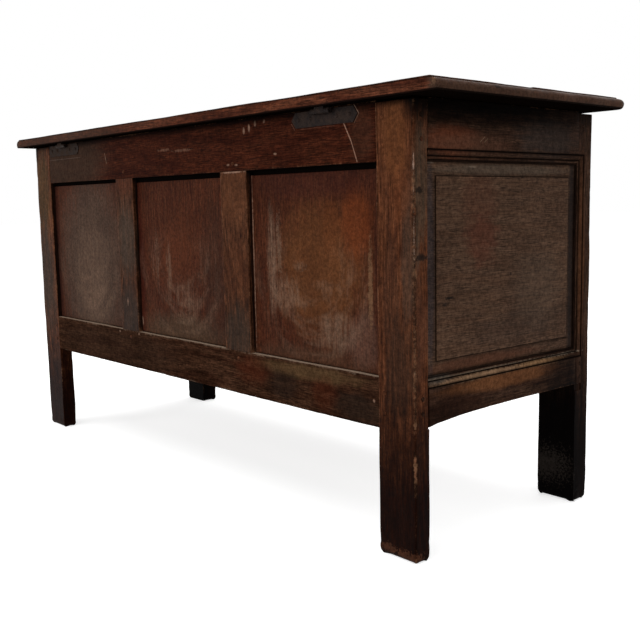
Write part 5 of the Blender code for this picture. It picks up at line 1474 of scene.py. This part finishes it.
def rear_panel_shape(opening, gap):
    """Painted shade along a plain panel's edges, and the dark gap that it has left under the rail in shrinking,
    painted black as shade.
    """
    def shape(points, marks):
        far, deep = outside(points, "rear", opening, REAR_OPENING)
        facing = deep < PANEL_FACE_DEEP
        slant = (points[..., X] - opening[0]) / (opening[1] - opening[0])
        shadow_gap = REAR_OPENING[1] - gap[0] - (gap[1] - gap[0]) * slant
        dropped = facing & (points[..., Z] > shadow_gap)
        points = np.where(dropped[..., None], sink(points, "rear", GAP_DEEP), points)
        marks["spot"] = spot(points, "rear", opening, REAR_OPENING)
        # The pale haze of wax and painted sheen grows towards the panel's bottom.
        marks["film"] = smoothstep(-0.45, 0.35, -marks["spot"][..., 1])
        # Painted shade: the panel's edges beside the frame go dark, and the gap under the rail goes black.
        marks["nook"] = np.where(facing, np.interp(-far, (0.0, 0.0012, 0.004), (1.0, 0.5, 0.0)), 0.0)
        marks["nook"] = np.where(dropped, 1.0, marks["nook"])
        marks["arris"] = marks["arris"] * 0
        return points, marks
    return shape


def edge_lines(run):
    """Lines close to both ends of an opening, where the dirt lies."""
    return [end + way * step for end, way in zip(run, (1, -1)) for step in (0, 0.0012, 0.004, 0.010)]


def panel(name, long, p, q, material, lines, stations, swell, seed, shape):
    """A thin board in its grooves, drawn as a beam with hardly rounded arrises."""
    return beam(name, long, span(name, p), span(name, q), span(name, long), (material, "oak_panel"),
                (0.0004,) * 4, lines, stations, TIGHT, swell, seed, shape)


PLACES = ("left", "middle", "right")
GAPS = ((0.0095, 0.0085), (0.0095, 0.0100), (0.0070, 0.0080))
gap_stations = list(np.linspace(REAR_OPENING[1] - 0.0105, REAR_OPENING[1], 15))
for index, (side, opening) in enumerate(zip(PLACES, REAR_OPENINGS)):
    panel(f"rear_{side}_panel", Z, X, Y, PANEL_OAK, {2: edge_lines(opening)},
          edge_lines(REAR_OPENING) + gap_stations, 0.0006, 61 + index, rear_panel_shape(opening, GAPS[index]))
print("Gaps above the rear panels, mm:", [[round(1000 * place, 1) for place in gap] for gap in GAPS])

# %% [markdown]
# The front's and the ends' panels are fielded, and their grid lines lie on the field's edges. The
# bottom boards run from front to back in the long rails' grooves, and are only planed.

# %% Fielded panels and bottom boards
def fielded(side, u, v):
    """A shaping function that lays a side's panel down to its field, step and border."""
    return lambda points, marks: raise_field(points, marks, side, u, v)


for index, (side, opening) in enumerate(zip(PLACES, FRONT_OPENINGS)):
    panel(f"front_{side}_panel", Z, X, Y, PANEL_OAK, {0: field_lines(opening)}, field_lines(MOULDED_OPENING),
          0.0003, 65 + index, fielded("front", opening, MOULDED_OPENING))
for side, way, outer in (("left", -1, 0), ("right", 1, 2)):
    panel(f"{side}_end_panel", Y, Z, X, END_PANEL_OAK, {outer: field_lines(MOULDED_OPENING)},
          field_lines(END_SHOULDERS), 0.0003, 70 + way, fielded(side, END_SHOULDERS, MOULDED_OPENING))
for number in range(1, 7):
    name = f"bottom_board_{number}"
    beam(name, Y, span(name, Z), span(name, X), span(name, Y), (BOTTOM_OAK, "oak_bottom"), (0.0008,) * 4,
         seed=80 + number)
print("Bottom boards:", number)

# %% [markdown]
# ## The lid
# The lid is two wide boards, tongued together, with a round nose and a small fillet worked along the
# front and the ends. A board is a stack of outlines: each is a rectangle set in by the edge's section
# at its height. The first and the last are filled by a grid that joins them point for point, so the
# whole board is one closed skin.

# %% The lid's edge
FIT = 0.0003
LID_X = span("lid_front_board", X)
LID_Y = (span("lid_front_board", Y)[0], span("lid_rear_board", Y)[1])
LID_Z = span("lid_front_board", Z)
REAR_BOARD_WIDTH = 0.235
LID_JOINT_Y = LID_Y[1] - REAR_BOARD_WIDTH
LID_FILLET_HEIGHT = 0.0032
LID_FILLET_IN = 0.012
LID_UNDER_ROUND = 0.006
FILLET_STEP = 0.0003


def lid_edge():
    """The edge's section from below: a round nose, then a fillet that stands up to the top."""
    nose = LID_Z[1] - LID_Z[0] - LID_FILLET_HEIGHT
    rows = []
    for turn in np.linspace(-math.pi / 2, math.pi / 2, 15):
        reach = LID_UNDER_ROUND if turn < 0 else LID_FILLET_IN
        rows.append((nose / 2 * (1 + math.sin(turn)), reach * (1 - math.cos(turn)),
                     0.35 * math.cos(turn) ** 2, 0.0))
    top = nose + LID_FILLET_HEIGHT
    # The crease at the fillet's foot is darkened as painted shade, and the fillet's upper arris is paled by
    # wear and a painted highlight.
    rows[-1] = (*rows[-1][:2], 0.0, 0.9)
    rows.append((nose + 0.0002, LID_FILLET_IN + FILLET_STEP, 0.0, 1.0))
    rows.append((top - 0.0009, LID_FILLET_IN + FILLET_STEP, 0.5, 0.0))
    rows.append((top - 0.0002, LID_FILLET_IN + 0.0006, 1.0, 0.0))
    rows.append((top, LID_FILLET_IN + 0.0014, 0.9, 0.0))
    rows.append((top, LID_FILLET_IN + 0.004, 0.3, 0.0))
    return np.array(rows)


LID_EDGE = lid_edge()
print("Lid's thickness:", round(LID_Z[1] - LID_Z[0], 4), "with", len(LID_EDGE), "outlines")

# %% [markdown]
# The skin comes first, as plain arrays, and its wear after. The top wanders a little, the upper edge
# is nibbled, and the front corners are rounded in plan: a point past a corner's centre is drawn back
# to a quarter circle. Rounding by a modifier would come after the wear, and smear it.

# %% The lid's skin
LID_LINES = (190, 34)
LID_CORNER = 0.022
TOP_SWELL = 0.0005
TOP_WAVE = 0.3
TOP_DROP = 0.0006
UNDER_RISE = 0.0004
NIBBLE = 0.0006
NIBBLE_WAVE = 0.05
NIBBLE_REACH = 0.03


def lid_skin(y, moulded_front):
    """A board's points, faces, arris and nook marks: side rows of an outline, and two grids."""
    along, across = LID_LINES
    steps_x, steps_y = np.linspace(0, 1, along), np.linspace(0, 1, across)
    border = [(i, 0) for i in range(along)] + [(along - 1, j) for j in range(1, across)]
    border += [(i, across - 1) for i in range(along - 2, -1, -1)] + [(0, j) for j in range(across - 2, 0, -1)]
    border = np.array(border)
    count = len(border)

    def outline(inset):
        x = LID_X[0] + inset + steps_x * (LID_X[1] - LID_X[0] - 2 * inset)
        low = y[0] + (inset if moulded_front else 0.0)
        return x, low + steps_y * (y[1] - low)

    rings = []
    for height, inset, _, _ in LID_EDGE:
        x, run = outline(inset)
        rings.append(np.stack([x[border[:, 0]], run[border[:, 1]], np.full(count, LID_Z[0] + height)], -1))
    points = np.concatenate(rings)
    arris, nook = np.repeat(LID_EDGE[:, 2], count), np.repeat(LID_EDGE[:, 3], count)
    faces = lattice(len(LID_EDGE), count, True).tolist()
    for row, turn in ((0, -1), (len(LID_EDGE) - 1, 1)):
        height, inset = LID_EDGE[row][:2]
        grid = np.stack(np.meshgrid(*outline(inset), indexing="ij"), -1).reshape(-1, 2)
        index = np.full(LID_LINES, -1)
        index[border[:, 0], border[:, 1]] = row * count + np.arange(count)
        free = index.reshape(-1) < 0
        index.reshape(-1)[free] = len(points) + np.arange(free.sum())
        points = np.concatenate([points, np.column_stack([grid[free], np.full(free.sum(), LID_Z[0] + height)])])
        cells = np.stack([index[:-1, :-1], index[1:, :-1], index[1:, 1:], index[:-1, 1:]], -1).reshape(-1, 4)
        faces += cells[:, ::turn].tolist()
    bare = np.zeros(len(points) - len(arris))
    return points, faces, np.concatenate([arris, bare]), np.concatenate([nook, bare])


def worn_lid(points, seed):
    """The skin with a wandering top, a nibbled upper edge and rounded front corners, kept in its box."""
    high = (points[:, Z] - LID_Z[0]) / (LID_Z[1] - LID_Z[0])
    wave = TOP_SWELL * ripple(points, TOP_WAVE, seed) - TOP_DROP
    points[:, Z] += np.where(high > 0.9, wave, 0) + np.where(high < 0.1, UNDER_RISE, 0)
    edge = NIBBLE * (ripple(points, NIBBLE_WAVE, seed + 1, 4) - 1) * smoothstep(0.0, 0.5, high)
    near_end = np.abs(points[:, X]) > (LID_X[1] - LID_X[0]) / 2 - NIBBLE_REACH
    points[:, X] += edge * np.sign(points[:, X]) * near_end
    past = np.stack([np.abs(points[:, X]) - LID_X[1] + LID_CORNER, LID_Y[0] + LID_CORNER - points[:, Y]], -1)
    share = np.where(past.min(1) > 0, past.max(1) / np.maximum(np.linalg.norm(past, axis=1), 1e-9), 1.0) - 1
    points[:, X] += np.sign(points[:, X]) * past[:, 0] * share
    points[:, Y] -= past[:, 1] * share
    return np.clip(points, (LID_X[0], LID_Y[0], LID_Z[0]), (LID_X[1], LID_Y[1], LID_Z[1]))


print("Lid's lines along and across:", LID_LINES)

# %% [markdown]
# Each board takes two finishes. Its top and its edge are waxed, and faces that look down get the dry
# oak. Where the underside overhangs the walls it is painted black as shade, and over the chest's inside
# it is clean. Two separate meshes could hold the two finishes, but one closed skin with a material for
# each face needs no seam.

# %% Lid boards
UNDERSIDE = 0.15
OVERHANG_SHADE_EDGE = (-0.035, -0.005)
OVERHANG_SHADE_MOST = 0.96
LOOKS_DOWN = -0.9


def lid_board(name, y, moulded_front, seed):
    """A lid board: its worn skin, waxed above and dry below, painted black as shade from the walls outwards."""
    points, faces, arris, nook = lid_skin(y, moulded_front)
    below = (points[:, Z] - LID_Z[0]) / (LID_Z[1] - LID_Z[0]) < UNDERSIDE
    points = worn_lid(points, seed)
    inside = np.minimum(END_FACE - np.abs(points[:, X]),
                        np.minimum(REAR_FACE - points[:, Y], points[:, Y] - FRONT_FACE))
    # The underside's overhang beyond the walls is painted near black as shade.
    nook = np.where(below, OVERHANG_SHADE_MOST * smoothstep(*OVERHANG_SHADE_EDGE, -inside), nook)
    dice = np.random.default_rng(seed)
    marks = {"arris": arris, "nook": nook, "tone": np.full(len(points), dice.uniform()),
             "grain": (points + dice.uniform(-3, 3, 3))[None]}
    board = piece_of(name, points, faces, (LID_OAK, "oak_lid"), [name], marks, "lid")
    board.data.materials.append(UNDER_OAK)
    normals = np.empty(3 * len(faces))
    board.data.polygons.foreach_get("normal", normals)
    board.data.polygons.foreach_set("material_index", (normals[Z::3] < LOOKS_DOWN).astype(np.int32))
    print(name, "has", len(faces), "faces")
    return board


lid_board("lid_rear_board", (LID_JOINT_Y + FIT / 2, LID_Y[1]), False, 91)
lid_board("lid_front_board", (LID_Y[0], LID_JOINT_Y - FIT / 2), True, 92)

# %% [markdown]
# ## Iron
# The hinges, their nails, the lock, its staple and its plate are wrought iron. Their solids are small
# and already right, so they stay, and only a bevel takes the edge off them. What makes them iron is
# the finish: nearly black scale, brown rust in patches, pits, and the broad dimples of a hammer. The
# dimples could be sculpted, but at this size a bump shades them just as well. The right hinge has
# rusted browner than the left.

# %% Iron
IRON_GLOSS = 0.03
IRON_ROUGH = 0.45
RUST_ROUGH = 0.25
HAMMER_DEPTH = 0.001
SOFT_EDGE = 0.0004
IRON_KINDS = ("hinge", "strap", "nail", "lock", "staple", "escutcheon")


def iron(name, scale, rusty):
    """Old wrought iron: dark scale, brown rust in patches, and a hammered surface."""
    material = bpy.data.materials.new(name)
    material.use_nodes = True
    tree = material.node_tree
    shader = tree.nodes["Principled BSDF"]
    place = add(tree, "ShaderNodeTexCoord").outputs["Object"]
    rust = ramp(tree, noise(tree, place, 60.0, 5.0, 0.7), 0.40, 0.64)
    pits = noise(tree, place, 900.0, 3.0, 0.6)
    colour = blend(tree, rust, (*scale, 1.0), (*rusty, 1.0))
    colour = blend(tree, 1.0, colour, ramp(tree, pits, 0.3, 0.7, 0.6, 1.3), "MULTIPLY")
    tree.links.new(colour, shader.inputs["Base Color"])
    shader.inputs["Specular IOR Level"].default_value = IRON_GLOSS
    dull = maths(tree, "ADD", maths(tree, "MULTIPLY", rust, RUST_ROUGH), IRON_ROUGH)
    tree.links.new(dull, shader.inputs["Roughness"])
    hammer = noise(tree, place, 110.0, 2.0, 0.5)
    height = maths(tree, "ADD", hammer, maths(tree, "MULTIPLY", pits, 0.2))
    bump = add(tree, "ShaderNodeBump", {"Height": height, "Strength": 0.6, "Distance": HAMMER_DEPTH})
    tree.links.new(bump.outputs[0], shader.inputs["Normal"])
    return material


OLD_IRON = iron("old_iron", (0.016, 0.011, 0.010), (0.040, 0.026, 0.021))
BROWN_IRON = iron("brown_iron", (0.018, 0.010, 0.007), (0.032, 0.018, 0.012))
irons = [node for name, node in frame["nodes"].items() if any(kind in name for kind in IRON_KINDS)]
print("Pieces of iron:", len(irons))

# %% [markdown]
# The two irons go onto their solids. Nothing is redrawn here, so these solids need no word of what
# replaces them.

# %% Iron on its solids
for name, node in frame["nodes"].items():
    if node in irons:
        node.data.materials.clear()
        node.data.materials.append(BROWN_IRON if name.startswith("right_") else OLD_IRON)
        soften = node.modifiers.new("softened_edges", "BEVEL")
        soften.width = SOFT_EDGE
        soften.segments = 2
        soften.limit_method = "ANGLE"
print("Edges softened by", 1000 * SOFT_EDGE, "mm")

# %% [markdown]
# ## Light, floor and white background
# Product light: a wide soft light above, one from the side of the camera, and weaker ones at the left
# end and the front, so that every side of the chest reads. A sky picture could light it too, but
# large flat lamps keep the shadows soft and the whites even.

# %% Lights
MIDDLE = (0.0, 0.0, 0.4)


def soft_light(name, place, size, power):
    """A large flat light turned towards the middle of the chest."""
    lamp = bpy.data.lights.new(name, "AREA")
    lamp.shape = "RECTANGLE"
    lamp.size, lamp.size_y = size
    lamp.energy = power
    light = bpy.data.objects.new(name, lamp)
    bpy.context.scene.collection.objects.link(light)
    light.location = place
    light.rotation_mode = "QUATERNION"
    light.rotation_quaternion = (Vector(MIDDLE) - Vector(place)).to_track_quat("-Z", "Y")
    return light


soft_light("overhead", (0.0, 0.4, 3.2), (4.0, 4.0), 70)
soft_light("behind", (0.8, 3.6, 1.8), (3.5, 2.5), 48)
soft_light("left_end", (-3.6, 0.2, 1.4), (2.5, 2.5), 26)
soft_light("front", (0.6, -3.6, 1.8), (3.5, 2.5), 34)
print("Lights and their power:", {lamp.name: lamp.energy for lamp in bpy.data.lights})

# %% [markdown]
# The background has to be pure white to the camera, and yet may not flood the chest with light. The
# light path tells the two apart: a ray that the camera sees gets the full strength, and any other
# gets half.

# %% Background
SKY_LIGHT = 0.5

world = bpy.data.worlds.new("background")
world.use_nodes = True
bpy.context.scene.world = world
tree = world.node_tree
paths = add(tree, "ShaderNodeLightPath").outputs
seen = maths(tree, "MAXIMUM", paths["Is Camera Ray"], paths["Is Transmission Ray"])
seen = maths(tree, "MAXIMUM", seen, paths["Is Glossy Ray"])
strength = maths(tree, "ADD", SKY_LIGHT, maths(tree, "MULTIPLY", seen, 1 - SKY_LIGHT))
background = tree.nodes["Background"]
background.inputs["Color"].default_value = (1.0, 1.0, 1.0, 1.0)
tree.links.new(strength, background.inputs["Strength"])
print("The sky's strength as light:", SKY_LIGHT)

# %% [markdown]
# The floor is a plane of white paper, far wider than the view. A real sheet would go grey away from
# the lights, so to the camera it glows a little as well. To every other ray it is a dull grey, which
# keeps its bounce off the chest's underside small. The chest's own shadow still falls on it.

# %% Floor
FLOOR_REACH = 30.0
FLOOR_DROP = 0.0005
PAPER_SEEN = (0.8, 0.8, 0.8, 1.0)
PAPER_BOUNCE = (0.35, 0.35, 0.35, 1.0)
PAPER_GLOW = 0.62

floor_points = FLOOR_REACH * np.array([(-1.0, -1.0, 0.0), (1.0, -1.0, 0.0), (1.0, 1.0, 0.0), (-1.0, 1.0, 0.0)])
floor_mesh = bpy.data.meshes.new("floor")
floor_mesh.from_pydata(floor_points.tolist(), [], [(0, 1, 2, 3)])
floor = bpy.data.objects.new("floor", floor_mesh)
bpy.context.scene.collection.objects.link(floor)
floor.location = (0.0, 0.0, -FLOOR_DROP)
paper = bpy.data.materials.new("white_paper")
paper.use_nodes = True
tree = paper.node_tree
shader = tree.nodes["Principled BSDF"]
shader.inputs["Roughness"].default_value = 1.0
shader.inputs["Specular IOR Level"].default_value = 0.0
shader.inputs["Emission Color"].default_value = (1.0, 1.0, 1.0, 1.0)
paths = add(tree, "ShaderNodeLightPath").outputs
seen = maths(tree, "MAXIMUM", paths["Is Camera Ray"], paths["Is Glossy Ray"])
tree.links.new(blend(tree, seen, PAPER_BOUNCE, PAPER_SEEN), shader.inputs["Base Color"])
tree.links.new(maths(tree, "MULTIPLY", seen, PAPER_GLOW), shader.inputs["Emission Strength"])
floor_mesh.materials.append(paper)
print("Floor, m across:", 2 * FLOOR_REACH)
